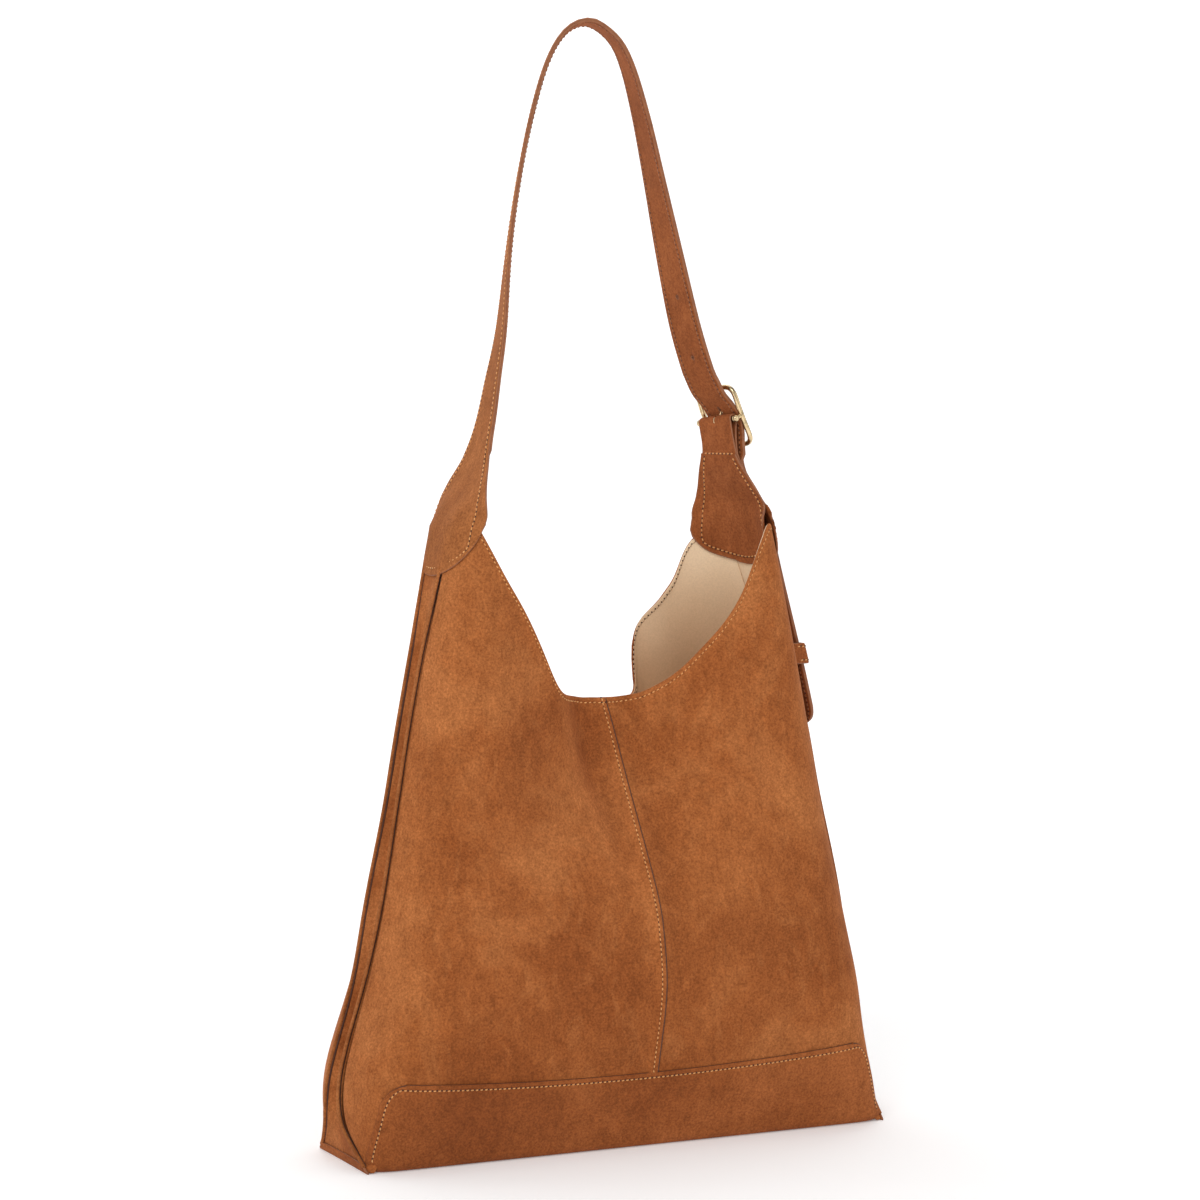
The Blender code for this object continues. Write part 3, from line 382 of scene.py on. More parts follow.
# Materials ----------------------------------------------------------------------------------------
class Surface:
    """A material's nodes: each method adds one and gives its output."""

    def __init__(self, name, roughness):
        self.material = bpy.data.materials.new(name)
        self.material.use_nodes = True
        tree = self.material.node_tree
        self.nodes, self.links, self.shader = tree.nodes, tree.links, tree.nodes["Principled BSDF"]
        self.where = self.nodes.new("ShaderNodeTexCoord").outputs["Object"]
        self.set(Roughness=roughness)

    def set(self, **values):
        """Sets the shader's sockets; an underscore in a name stands for a space."""
        for name, value in values.items():
            self.shader.inputs[name.replace("_", " ")].default_value = value

    def noise(self, scale, detail=3.0, rough=0.55, distort=0.0, stretch=None):
        tex = self.nodes.new("ShaderNodeTexNoise")
        for name, value in (("Scale", scale), ("Detail", detail), ("Roughness", rough),
                            ("Distortion", distort)):
            tex.inputs[name].default_value = value
        source = self.where
        if stretch:
            mapping = self.nodes.new("ShaderNodeMapping")
            mapping.inputs["Scale"].default_value = stretch
            mapping.inputs["Rotation"].default_value = (0.2, 0.5, 0.1)
            self.links.new(self.where, mapping.inputs["Vector"])
            source = mapping.outputs["Vector"]
        self.links.new(source, tex.inputs["Vector"])
        return tex.outputs["Fac"]

    def ramp(self, value, *stops):
        made = self.nodes.new("ShaderNodeValToRGB")
        bands = made.color_ramp.elements
        bands[0].position, bands[0].color = stops[0][0], (*stops[0][1], 1)
        bands[1].position, bands[1].color = stops[-1][0], (*stops[-1][1], 1)
        for at, colour in stops[1:-1]:
            bands.new(at).color = (*colour, 1)
        self.links.new(value, made.inputs["Fac"])
        return made.outputs["Color"]

    def times(self, value, factor):
        made = self.nodes.new("ShaderNodeMath")
        made.operation = "MULTIPLY"
        made.inputs[1].default_value = factor
        self.links.new(value, made.inputs[0])
        return made.outputs[0]

    def spread(self, value, **ends):
        """Maps a range of values to another, in a straight line."""
        made = self.nodes.new("ShaderNodeMapRange")
        for name, number in ends.items():
            made.inputs[name.replace("_", " ")].default_value = number
        self.links.new(value, made.inputs["Value"])
        return made.outputs["Result"]

    def mix(self, kind, factor, a, b):
        made = self.nodes.new("ShaderNodeMix")
        made.data_type = "RGBA"
        made.blend_type = kind
        for name, value in (("Factor", factor), ("A", a), ("B", b)):
            if isinstance(value, float):
                made.inputs[name].default_value = value
            elif isinstance(value, tuple):
                made.inputs[name].default_value = (*value, 1)
            else:
                self.links.new(value, made.inputs[name])
        return made.outputs["Result"]

    def bump(self, *layers):
        """layers: (height output, strength, distance)."""
        last = None
        for shade_by_height, strength, distance in layers:
            made = self.nodes.new("ShaderNodeBump")
            made.inputs["Strength"].default_value = strength
            made.inputs["Distance"].default_value = distance
            self.links.new(shade_by_height, made.inputs["Height"])
            if last is not None:
                self.links.new(last, made.inputs["Normal"])
            last = made.outputs["Normal"]
        self.links.new(last, self.shader.inputs["Normal"])

    def colour(self, value):
        self.links.new(value, self.shader.inputs["Base Color"])


def suede(name, base, dark, light, nap=1.0, mottle=1.0):
    made = Surface(name, 0.94)
    broad = made.ramp(made.noise(9, 4, 0.6, 0.6), (0.38, dark), (0.50, base), (0.62, light))
    patches = made.ramp(made.noise(34, 5, 0.66, 1.4, (1.0, 1.0, 0.62)), (0.52, (0, 0, 0)), (0.74, (1, 1, 1)))
    colour = made.mix("MIX", made.times(patches, 0.80 * mottle), broad, light)
    # painted layers from the panels: the first lightens the edges and paints highlights on fold ridges, the
    # second paints shade into creases and seam valleys
    edge_and_highlight, shaded = tuple(c * 1.12 for c in light), tuple(c * 0.86 for c in dark)
    for layer, tone in (("edge_and_highlight", edge_and_highlight), ("shaded", shaded)):
        painted = made.nodes.new("ShaderNodeAttribute")
        painted.attribute_name = layer
        broken = made.ramp(made.noise(90, 5, 0.68), (0.36, (0.25, 0.25, 0.25)), (0.60, (1, 1, 1)))
        share = made.mix("MULTIPLY", 1.0, painted.outputs["Color"], broken)
        colour = made.mix("MIX", made.times(share, 0.75), colour, tone)
    streak = made.ramp(made.noise(150, 4, 0.62, 0.4, (1.0, 1.0, 0.5)),
                       (0.30, (0.80, 0.78, 0.75)), (0.50, (1, 1, 1)), (0.70, (1.16, 1.18, 1.20)))
    colour = made.mix("MULTIPLY", 0.75, colour, streak)
    grain_height = made.noise(620, 4, 0.7)
    grain = made.ramp(grain_height, (0.34, (0.66, 0.62, 0.58)), (0.50, (1.0, 1.0, 1.0)),
                      (0.66, (1.36, 1.40, 1.44)))
    made.colour(made.mix("MULTIPLY", 0.85 * nap, colour, grain))
    made.set(Specular_IOR_Level=0.22, Sheen_Weight=0.16, Sheen_Roughness=0.42,
             Sheen_Tint=(*[min(c * 1.7 + 0.03, 1) for c in light], 1))
    made.bump((made.noise(60, 4, 0.6), 0.22, 0.0012), (made.noise(420, 4, 0.65), 0.32 * nap, 0.0004),
              (grain_height, 0.45 * nap, 0.00022))
    return made.material


def edge_paint_and_shade(name, dark, light):
    made = Surface(name, 0.62)
    made.colour(made.ramp(made.noise(210, 4, 0.6), (0.3, dark), (0.7, light)))
    made.bump((made.noise(900, 3, 0.6), 0.35, 0.0002))
    return made.material


def thread(name, light, dark):
    made = Surface(name, 0.7)
    made.colour(made.ramp(made.noise(500, 3, 0.6), (0.3, dark), (0.7, light)))
    made.set(Sheen_Weight=0.2)
    twist = made.nodes.new("ShaderNodeTexWave")
    twist.inputs["Scale"].default_value = 620
    twist.inputs["Distortion"].default_value = 1.5
    twist.bands_direction = "DIAGONAL"
    made.links.new(made.where, twist.inputs["Vector"])
    made.bump((twist.outputs["Fac"], 0.4, 0.0001))
    return made.material


def lining_material():
    made = Surface("lining", 0.72)
    # painted shade: the lining is lighter at the mouth and darker down inside the bag
    split = made.nodes.new("ShaderNodeSeparateXYZ")
    made.links.new(made.where, split.inputs["Vector"])
    shade_by_height = made.spread(split.outputs["Z"], From_Min=0.315, From_Max=0.415)
    colour = made.ramp(shade_by_height, (0.0, (0.60, 0.35, 0.18)), (1.0, (0.90, 0.69, 0.46)))
    cloud = made.ramp(made.noise(16, 4, 0.55), (0.32, (0.93, 0.92, 0.90)), (0.68, (1.0, 1.0, 1.0)))
    colour = made.mix("MULTIPLY", 1.0, colour, cloud)
    fine = made.ramp(made.noise(800, 3, 0.6), (0.3, (0.90, 0.89, 0.88)), (0.7, (1.06, 1.06, 1.07)))
    made.colour(made.mix("MULTIPLY", 0.8, colour, fine))
    made.set(Sheen_Weight=0.15)
    cells = made.nodes.new("ShaderNodeTexVoronoi")
    cells.inputs["Scale"].default_value = 950
    made.links.new(made.where, cells.inputs["Vector"])
    made.bump((made.noise(70, 4, 0.55), 0.25, 0.0010), (cells.outputs["Distance"], 0.25, 0.00015))
    return made.material


def metal(name, colour, rough):
    made = Surface(name, rough)
    worn, bright = tuple(c * 0.42 for c in colour), tuple(min(c * 1.25, 1) for c in colour)
    made.colour(made.ramp(made.noise(130, 5, 0.6), (0.36, worn), (0.50, colour), (0.64, bright)))
    made.set(Metallic=1.0)
    shine = made.spread(made.noise(420, 4, 0.6), To_Min=rough * 0.75, To_Max=rough * 1.35)
    made.links.new(shine, made.shader.inputs["Roughness"])
    made.bump((made.noise(700, 2, 0.5, 0, (1, 1, 0.1)), 0.05, 0.0001))
    return made.material


def board_material():
    made = Surface("board", 0.85)
    made.colour(made.ramp(made.noise(300, 5, 0.7), (0.3, (0.10, 0.09, 0.075)), (0.7, (0.17, 0.15, 0.125))))
    made.bump((made.noise(600, 3, 0.6), 0.3, 0.0003))
    return made.material


SUEDE_BODY = suede("suede_body", (0.325, 0.096, 0.0235), (0.262, 0.071, 0.0155), (0.400, 0.134, 0.038))
SUEDE_BAND = suede("suede_band", (0.282, 0.080, 0.0195), (0.232, 0.062, 0.0145), (0.335, 0.101, 0.027), 1, 0.8)
SUEDE_STRAP = suede("suede_strap", (0.300, 0.097, 0.026), (0.250, 0.076, 0.018), (0.360, 0.125, 0.037), 1, 0.8)
SUEDE_INNER = suede("suede_strap_inner", (0.300, 0.088, 0.025), (0.250, 0.070, 0.019), (0.350, 0.110, 0.034),
                    0.9, 0.8)
# painted shade: near-black for the needle holes and for the dark lines along the seams and the band's edge
PAINTED_SHADE = edge_paint_and_shade("painted_shade_dark", (0.050, 0.014, 0.005), (0.09, 0.028, 0.010))
EDGE = edge_paint_and_shade("edge", (0.225, 0.075, 0.027), (0.33, 0.122, 0.046))
THREAD = thread("thread_tan", (0.80, 0.40, 0.13), (0.60, 0.26, 0.075))
THREAD_DIM = thread("thread_dim", (0.36, 0.130, 0.036), (0.27, 0.090, 0.024))
THREAD_PALE = thread("thread_pale", (0.66, 0.46, 0.28), (0.52, 0.34, 0.19))
LINING = lining_material()
BRASS = metal("pale_brass", (0.66, 0.50, 0.29), 0.20)
BOARD = board_material()


# Shell --------------------------------------------------------------------------------------------
# rows of the mesh below the mouth's edge, closest where the stitches' groove is
EDGE_STEPS = [0, 0.0005, 0.0011, 0.0018, 0.0024, 0.0029, 0.0034, 0.0039, 0.0044, 0.0050, 0.0058, 0.0070,
              0.0085]
STITCH_IN = 0.0034


def near_edges(length, count, fine_low=0.009, fine_high=0.009, step=0.0006):
    """Positions from 0 to length, close together at both ends."""
    low = np.arange(0, fine_low, step)
    high = length - np.arange(0, fine_high, step)[::-1]
    middle = np.linspace(low[-1], high[0], count + 2)[1:-1]
    return np.concatenate([low, middle, high])


def seam_line(z, face):
    return curve(CENTRE_SEAM, z) if face < 0 else 0 * z


def paint_edges_and_fold_light(obj, face):
    """Where a panel is lighter along its edges, where highlights are painted on its fold ridges, and where
    shade is painted into its creases, seam valleys and the strip above the band.
    """
    count = len(obj.data.vertices)
    co = np.empty(count * 3)
    obj.data.vertices.foreach_get("co", co)
    x, _, z = co.reshape(-1, 3).T
    x = x - lean(z)
    below = mouth_height(x / curve(SEAM_X, z), face) - z
    side = curve(SEAM_X, z) - np.abs(x)
    # lighter along the mouth's edge and beside the side seams
    edge_and_highlight = 0.55 * bell(below, 0.0, 0.006) + 0.45 * bell(side, 0.006, 0.012)
    # painted shade just above the band's top edge
    shaded = 0.45 * bell(z, 0.066, 0.012) * ease(0.20, 0.15, np.abs(x))
    if face < 0:
        # on the front: painted shade in the centre seam's valley, the crease and the hollows, and painted
        # highlights on the ridges beside them
        seam = curve(CENTRE_SEAM, z)
        edge_and_highlight += 0.9 * bell(x, seam - 0.006, 0.009) * ease(0.30, 0.27, z) * ease(0.10, 0.16, z)
        shaded += 0.7 * bell(x, seam + 0.012, 0.010) * ease(0.08, 0.16, z)
        line = crease_x(z)
        shaded += 0.8 * bell(x, line + 0.004, 0.011) * ease(0.19, 0.25, z)
        edge_and_highlight += 0.8 * bell(x, line - 0.017, 0.006) * ease(0.17, 0.22, z)
        shaded += 0.5 * bell(x, -0.088 - 0.12 * (z - 0.3), 0.022) * ease(0.20, 0.28, z)
        edge_and_highlight += 0.7 * bell(x, 0.075, 0.030) * bell(z, 0.205, 0.030)
        shaded += 0.5 * bell(x, 0.090, 0.050) * bell(z, 0.150, 0.018)
    for name, values in (("edge_and_highlight", edge_and_highlight), ("shaded", shaded)):
        layer = obj.data.attributes.new(name, "FLOAT", "POINT")
        layer.data.foreach_set("value", np.clip(values, 0, 1))


def panel(face, half):
    """Half of the front or back. The left half of the front laps over the right one."""
    word = ("front" if face < 0 else "back") + ("_left" if half < 0 else "_right")
    share = near_edges(0.19, 110)[None, :]
    share = share / share[0, -1]
    lap = half < 0

    def side_at(zz):
        wide = curve(SEAM_X, zz)
        seam = seam_line(zz, face) / wide
        outer = 1 - 0.0012 / wide
        if lap:
            return -outer + share * (seam + outer)
        under = seam - 0.006 / wide
        return under + share * (outer - under)

    zz = np.full((1, share.shape[1]), 0.3)
    for _ in range(8):
        s = side_at(zz)
        zz = mouth_height(s, face)
    # the panel ends a little above the ground under the band, and lower down at the corner beside it
    z0 = 0.012 - 0.0102 * ease(0.192, 0.2005, np.abs(side_at(0 * zz + 0.008)) * curve(SEAM_X, 0.008))
    low = np.linspace(0, 1, 150)[:, None] * (zz[0] - EDGE_STEPS[-1] * 1.3 - z0) + z0
    near = zz[0][None] - np.array(EDGE_STEPS[::-1])[:, None]
    z = np.concatenate([low, near])
    s = side_at(z)
    top = mouth_height(s, face)
    z = np.where(np.arange(len(z))[:, None] >= 150, top - (zz[0][None] - z), z)
    s = side_at(z)
    below = mouth_height(s, face) - z
    from_seam = (s * curve(SEAM_X, z) - seam_line(z, face)) * half
    lift = -0.00050 * bell(below, STITCH_IN, 0.0008) - 0.0007 * np.exp(-below / 0.0007)
    lift = lift + 0.0004 * bell(below, 0.0018, 0.0012)
    if lap:
        lift = lift + 0.0016 * ease(0.010, 0.004, from_seam) * ease(0.0, 0.004, below + 0.003)
        lift = lift - 0.00050 * bell(from_seam, STITCH_IN, 0.0008) - 0.0005 * np.exp(-from_seam / 0.0006)
    else:
        lift = lift - 0.0003 * ease(0.006, -0.002, from_seam)
    p = shift_right_corner(panel_at(s, z, face, lift))
    inside = points(p[..., 0] * 0.9, 0, p[..., 2])
    obj = skin("panel_" + word, p, inside, [SUEDE_BODY, EDGE])
    paint_edges_and_fold_light(obj, face)
    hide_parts(("front" if face < 0 else "back") + "_panel" + ("_left" if half < 0 else "_right"))
    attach(obj, "bag")
    return {"p": p, "n": grid_normals(p, inside), "below": below, "from_seam": from_seam}


def line_along(panel_data, key, value):
    """The line on a panel where a distance has this value, one point for each column or row."""
    field, p, n = panel_data[key], panel_data["p"], panel_data["n"]
    line, normals = [], []
    if key == "below":
        for c in range(p.shape[1]):
            column = field[:, c][::-1]
            if column[0] > value or column[-1] < value:
                continue
            at = np.interp(value, column, np.arange(len(column)))
            i = len(column) - 1 - at
            line.append([np.interp(i, np.arange(len(column)), p[:, c, k]) for k in range(3)])
            normals.append([np.interp(i, np.arange(len(column)), n[:, c, k]) for k in range(3)])
    else:
        for r in range(p.shape[0]):
            row = field[r]
            order = np.argsort(row)
            if row.min() > value or row.max() < value:
                continue
            line.append([np.interp(value, row[order], p[r, order, k]) for k in range(3)])
            normals.append([np.interp(value, row[order], n[r, order, k]) for k in range(3)])
    return np.array(line), np.array(normals)


PANELS = {(face, half): panel(face, half) for face in (-1, 1) for half in (-1, 1)}


def stitch_panels():
    lines = [line_along(data, "below", STITCH_IN) for data in PANELS.values()]
    lines = [(line[2:-2], normals[2:-2]) for line, normals in lines]
    stitches("stitching_mouth", lines, THREAD, "bag")
    # painted shadow: a dark rod beside the lapped edge of the centre seam
    lapped = PANELS[-1, -1]
    line, normals = lapped["p"][:, -1], lapped["n"][:, -1]
    line = line[4:-1] - normals[4:-1] * 0.0008 + np.array([0.0005, 0, 0])
    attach(tube("centre_seam_shadow", line, 0.00085, PAINTED_SHADE, 8), "bag")
    for face, word in ((-1, "front"), (1, "back")):
        line, normals = line_along(PANELS[(face, -1)], "from_seam", STITCH_IN)
        keep = line[:, 2] > 0.050
        stitches("stitching_centre_" + word, [(line[keep], normals[keep])], THREAD, "bag")
    # the lining's side of the mouth's seam
    lines = []
    for data in PANELS.values():
        line, normals = line_along(data, "below", STITCH_IN)
        line = line[3:-3] - normals[3:-3] * (SUEDE + 0.0009)
        lines.append((line, -normals[3:-3]))
    stitches("stitching_mouth_inside", lines, THREAD_PALE, "bag")


def gussets():
    z = np.concatenate([np.linspace(0.001, 0.05, 30), np.linspace(0.053, 0.438, 120)])[:, None]
    a = np.linspace(-1, 1, 41)[None, :]
    for side, word in ((-1, "left"), (1, "right")):
        trim = 1 - 0.0008 / curve(SEAM_Y, z)
        p = shift_right_corner(gusset_at(a * trim, z, side))
        obj = skin("gusset_side_" + word, p, points(p[..., 0] * 0.8, 0, p[..., 2]), [SUEDE_BODY])
        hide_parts("gusset_" + word)
        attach(obj, "bag")
        for face, face_word in ((-1, "front"), (1, "back")):
            h = np.concatenate([np.linspace(0.0045, 0.03, 15), np.linspace(0.034, 0.415, 130)])
            line = points(side * (curve(SEAM_X, h) + 0.0008) + lean(h), face * (curve(SEAM_Y, h) + 0.0007), h)
            line = shift_right_corner(line)
            radius = 0.00125 + 0.00008 * wander(h * 3, h, 5)
            welt = tube(f"welting_{face_word}_{word}", line, radius, SUEDE_STRAP, 10)
            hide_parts(f"welt_{face_word}_{word}")
            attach(welt, "bag")
            # painted shade: a dark line where the panel's edge meets the piping
            line = points(side * (curve(SEAM_X, h) - 0.0007) + lean(h), face * (curve(SEAM_Y, h) + 0.0001), h)
            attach(tube(f"side_seam_shadow_{face_word}_{word}", shift_right_corner(line), 0.0009, PAINTED_SHADE, 8), "bag")


def linings():
    share = near_edges(0.19, 60, 0.006, 0.006, 0.0012)
    s = (share / share[-1] * 2 - 1)[None, :]
    for face, word in ((-1, "front"), (1, "back")):
        trim = 1 - 0.0022 / 0.15
        top = mouth_height(s[0] * trim, face)
        v = np.concatenate([np.linspace(0, 1, 90)[:-1] * 0.97, 0.97 + 0.03 * np.linspace(0, 1, 14)])[:, None]
        z = 0.008 + (top[None] - 0.0003 - 0.008) * v
        p = panel_at(s * (1 - (0.0034 - 0.0022 * ease(0.33, 0.36, z)) / curve(SEAM_X, z)), z, face)
        p = shift_right_corner(p)
        inside = points(p[..., 0] * 0.9, 0, p[..., 2])
        n = grid_normals(p, inside)
        below = (top[None] - z)[..., None]
        p = p - n * (SUEDE + 0.0001 + 0.0013 * ease(0.0, 0.030, below))
        obj = skin("lining_panel_" + word, p, inside, [LINING], 0.0009)
        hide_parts("lining_" + word)
        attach(obj, "bag")
    for side, word in ((-1, "left"), (1, "right")):
        z = np.linspace(0.006, 0.436, 120)[:, None]
        a = np.linspace(-1, 1, 21)[None, :]
        p = gusset_at(a, z, side)
        p[..., 1] *= 1 + 0.0024 / curve(SEAM_Y, z)
        p = shift_right_corner(p)
        inside = points(p[..., 0] * 0.8, 0, p[..., 2])
        p = p - grid_normals(p, inside) * (SUEDE + 0.0014)
        # lower down, where the gusset is folded in, it keeps clear of the fold's slopes
        low = gusset_at(a * (1 - 0.0040 / curve(SEAM_Y, z)), z, side)
        slope = 2 * curve(FOLD, z) * a / curve(SEAM_Y, z)
        low[..., 0] -= side * (SUEDE + 0.0014) * np.sqrt(1 + slope**2)
        share = ease(0.375, 0.40, z)[..., None]
        p = p * share + shift_right_corner(low) * (1 - share)
        obj = skin("lining_side_" + word, p, inside, [LINING], 0.0009)
        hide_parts("lining_gusset_" + word)
        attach(obj, "bag")
    # pocket
    u = np.linspace(-1, 1, 50)[None, :]
    z = np.concatenate([0.104 + 0.100 * np.linspace(0, 1, 40), [0.2048, 0.2053, 0.2056]])[:, None]
    p = panel_at(u * 0.44, z, 1)
    inside = points(p[..., 0] * 0.9, 0, p[..., 2])
    n = grid_normals(p, inside)
    puff = 0.0012 * (1 - np.abs(u) ** 6) * ease(0.104, 0.125, z)
    p = p - n * (SUEDE + 0.0030 + puff)[..., None]
    obj = skin("pocket", p, inside, [LINING], 0.0010)
    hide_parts("slip_pocket")
    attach(obj, "bag")
    m = -grid_normals(p, inside)
    edge = np.concatenate([p[::-1, 2], p[2, 2:-2], p[:, -3]])
    edge_n = np.concatenate([m[::-1, 2], m[2, 2:-2], m[:, -3]])
    lines = [(edge + edge_n * 0.00105, edge_n), (p[-5] + m[-5] * 0.00105, m[-5])]
    stitches("stitching_pocket", lines, THREAD_PALE, "bag")


BAND_HEIGHT, BAND_ROLL, BAND_CORNER = 0.064, 0.008, 0.016
BAND_LOW_HALF, BAND_TOP_HALF = 0.2036, 0.1868
BAND_OUT = SUEDE + 0.0004


def band_half_width(z):
    slope = (BAND_LOW_HALF - BAND_TOP_HALF) / BAND_HEIGHT
    over = np.maximum(z - (BAND_HEIGHT - BAND_CORNER), 0)
    return BAND_LOW_HALF - slope * z - BAND_CORNER + np.sqrt(np.maximum(BAND_CORNER**2 - over**2, 0))


def band():
    """The band that wraps the bottom, lapped over the panels and stitched along its edge."""
    u = near_edges(0.40, 150, 0.010, 0.010, 0.0008)
    u = (u / u[-1] * 2 - 1)[None, :]
    down = np.concatenate([np.arange(0, 0.007, 0.0006), np.linspace(0.0078, BAND_HEIGHT - BAND_ROLL, 30)])
    down = down[:, None]

    def face_rows(face):
        share = 1 - down / (BAND_HEIGHT - BAND_ROLL)
        x = u * band_half_width(BAND_ROLL + (BAND_HEIGHT - 0.0002 - BAND_ROLL) * share)
        top = BAND_HEIGHT - 0.0085 * (1 - (x / 0.188) ** 2)
        z = BAND_ROLL + (top - BAND_ROLL) * share
        near = np.minimum(down, (1 - np.abs(u)) * 0.20)
        lift = -0.0004 * bell(near, STITCH_IN, 0.0008) - 0.0004 * np.exp(-near / 0.0007)
        lift = lift + 0.0003 * wander(x, z, 41)
        return points(x + lean(z), face * half_depth(x, z), z), lift

    front, lift_f = face_rows(-1)
    back, lift_b = face_rows(1)
    roll = BAND_ROLL - BAND_OUT
    low_x = (u * band_half_width(BAND_ROLL))[0]
    q = half_depth(low_x, BAND_ROLL)
    bottom = []
    side = (1 - np.abs(u[0])) * 0.20
    for face in (-1, 1):
        part = []
        for angle in np.linspace(0, math.pi / 2, 8)[1:]:
            y = face * (q - roll * (1 - math.cos(angle)))
            part.append(points(low_x, y, BAND_ROLL - roll * math.sin(angle)))
        for share in (0.97, 0.8, 0.6, 0.4, 0.2):
            part.append(points(low_x, face * (q - roll) * share, BAND_OUT))
        bottom.append(np.array(part))
    middle = points(low_x, 0 * low_x, BAND_OUT)[None]
    under = np.concatenate([bottom[0], middle, bottom[1][::-1]])
    rows = np.concatenate([front, under, back[::-1]])
    groove = np.repeat(-0.0004 * bell(side, STITCH_IN, 0.0008)[None], len(under), 0)
    lift = np.concatenate([lift_f, groove, lift_b[::-1]])
    inside = points(rows[..., 0] * 0.95, 0, 0.03)
    n = grid_normals(rows, inside)
    p = rows + n * (BAND_OUT + lift)[..., None]
    p[..., 2] = np.maximum(p[..., 2], 0.0)
    obj = skin("band", p, inside, [SUEDE_BAND, EDGE])
    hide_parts("base_band")
    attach(obj, "bag")
    lines, edges = [], {}
    for face, word in ((-1, "front"), (1, "back")):
        block, norm = (grid[::-face][:len(down)] for grid in (p, n))
        row = int(np.argmin(np.abs(down[:, 0] - STITCH_IN)))
        left = int(np.argmin(np.abs((u[0] + 1) * 0.20 - STITCH_IN)))
        right = p.shape[1] - 1 - left
        path, path_n = (np.concatenate([g[row + 1:, left][::-1], g[row, left:right + 1], g[row + 1:, right]])
                        for g in (block, norm))
        # ease the sharp turn into the round corner
        soften(path, 12)
        lines.append((path + path_n * 0.0002, path_n))
        path, path_n = (np.concatenate([g[1:, 0][::-1], g[0], g[1:, -1]]) for g in (block, norm))
        edges[word] = path - path_n * 0.0011
    stitches("stitching_band", lines, THREAD, "bag")
    # painted shadow: dark rods along the foot of the band's raised edge
    for word, path in edges.items():
        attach(tube("band_edge_shadow_" + word, path, 0.0006, PAINTED_SHADE, 8), "bag")
    # the low strip that carries the band on round each side
    for side, word in ((-1, "left"), (1, "right")):
        z = np.array([0.0004, 0.0008, 0.0016, 0.0024, 0.0032, 0.0040, 0.0048, 0.0053, 0.0056, 0.0058])[:, None]
        a = np.linspace(-1, 1, 61)[None, :]
        strip = gusset_at(a * 0.985, z, side)
        strip[..., 0] += side * (0.0018 - 0.0006 * np.exp(-z / 0.0006) - 0.0005 * np.exp(-(0.0058 - z) / 0.0006)
                                 + 0.0002 * wander(a * 0.05, z, 17))
        inside = points(strip[..., 0] * 0.8, 0, strip[..., 2])
        obj = skin("band_side_" + word, strip, inside, [SUEDE_BAND, EDGE], SUEDE, 1)
        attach(obj, "bag")


stitch_panels()
gussets()
linings()
band()
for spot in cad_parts["lining_base"].material_slots:
    spot.material = LINING
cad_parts["base_board"].material_slots[0].material = BOARD
for word in ("front", "back"):
    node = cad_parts["snap_" + word]
    node.material_slots[0].material = BRASS
    bevel = node.modifiers.new("Edge", "BEVEL")
    bevel.width = 0.0005
    bevel.segments = 3


# Strap ends, strap, chape and tail ----------------------------------------------------------------
def corner_x(z, side):
    z = np.asarray(z, float)
    table = RIGHT_CORNER if side > 0 else LEFT_CORNER
    return np.where(z < 0.443, curve(SEAM_X, z), curve(table, z))


def shift_strap_end(p):
    """Turns the right-hand strap end with the corner it is sewn to, and centres it on the buckle."""
    p = p.copy()
    weight = ease(0.27, 0.44, p[..., 2])
    shift = 0.034 * (1 - ease(0.468, 0.518, p[..., 2]))
    p[..., 0] -= weight * TURN_SLOPE * np.maximum(p[..., 1] + shift, -0.06)
    return p


def wrap_rows(q, z, side, off):
    """The strap end's surface at one height z: q are distances along it from the gusset's middle."""
    low = min(z, CORNER_HEIGHT)
    unbend = float(ease(CORNER_HEIGHT - 0.004, 0.482, z))
    seam, wide = float(curve(SEAM_Y, low)), float(curve(SEAM_X, low))
    step, blend = 0.0005, 0.002
    run = np.arange(0, 0.060, step)
    heading = np.full_like(run, math.pi / 2)
    at = 0.0
    insets = np.linspace(0, 0.05, 400)
    slope = np.gradient(half_depth(wide - insets, low), insets)
    for i, r in enumerate(run):
        if r >= seam - blend:
            h = math.atan2(float(np.interp(at, insets, slope)), 1.0)
            if r < seam + blend:
                h = math.pi / 2 + (h - math.pi / 2) * (r - seam + blend) / (2 * blend)
            heading[i] = h
            if r >= seam:
                at += step * math.cos(h)
    heading += (math.pi / 2 - heading) * unbend
    x = -np.concatenate([[0], np.cumsum(step * np.cos(heading))[:-1]])
    y = np.concatenate([[0], np.cumsum(step * np.sin(heading))[:-1]])
    qa = np.abs(q)
    xx, yy, hh = (np.interp(qa, run, v) for v in (x, y, heading))
    xx = xx + off * np.sin(hh)
    yy = (yy + off * np.cos(hh)) * np.sign(q + 1e-12)
    p = points(side * (float(corner_x(z, side)) + xx) + LEAN * z, yy, z)
    return shift_strap_end(p) if side > 0 else p


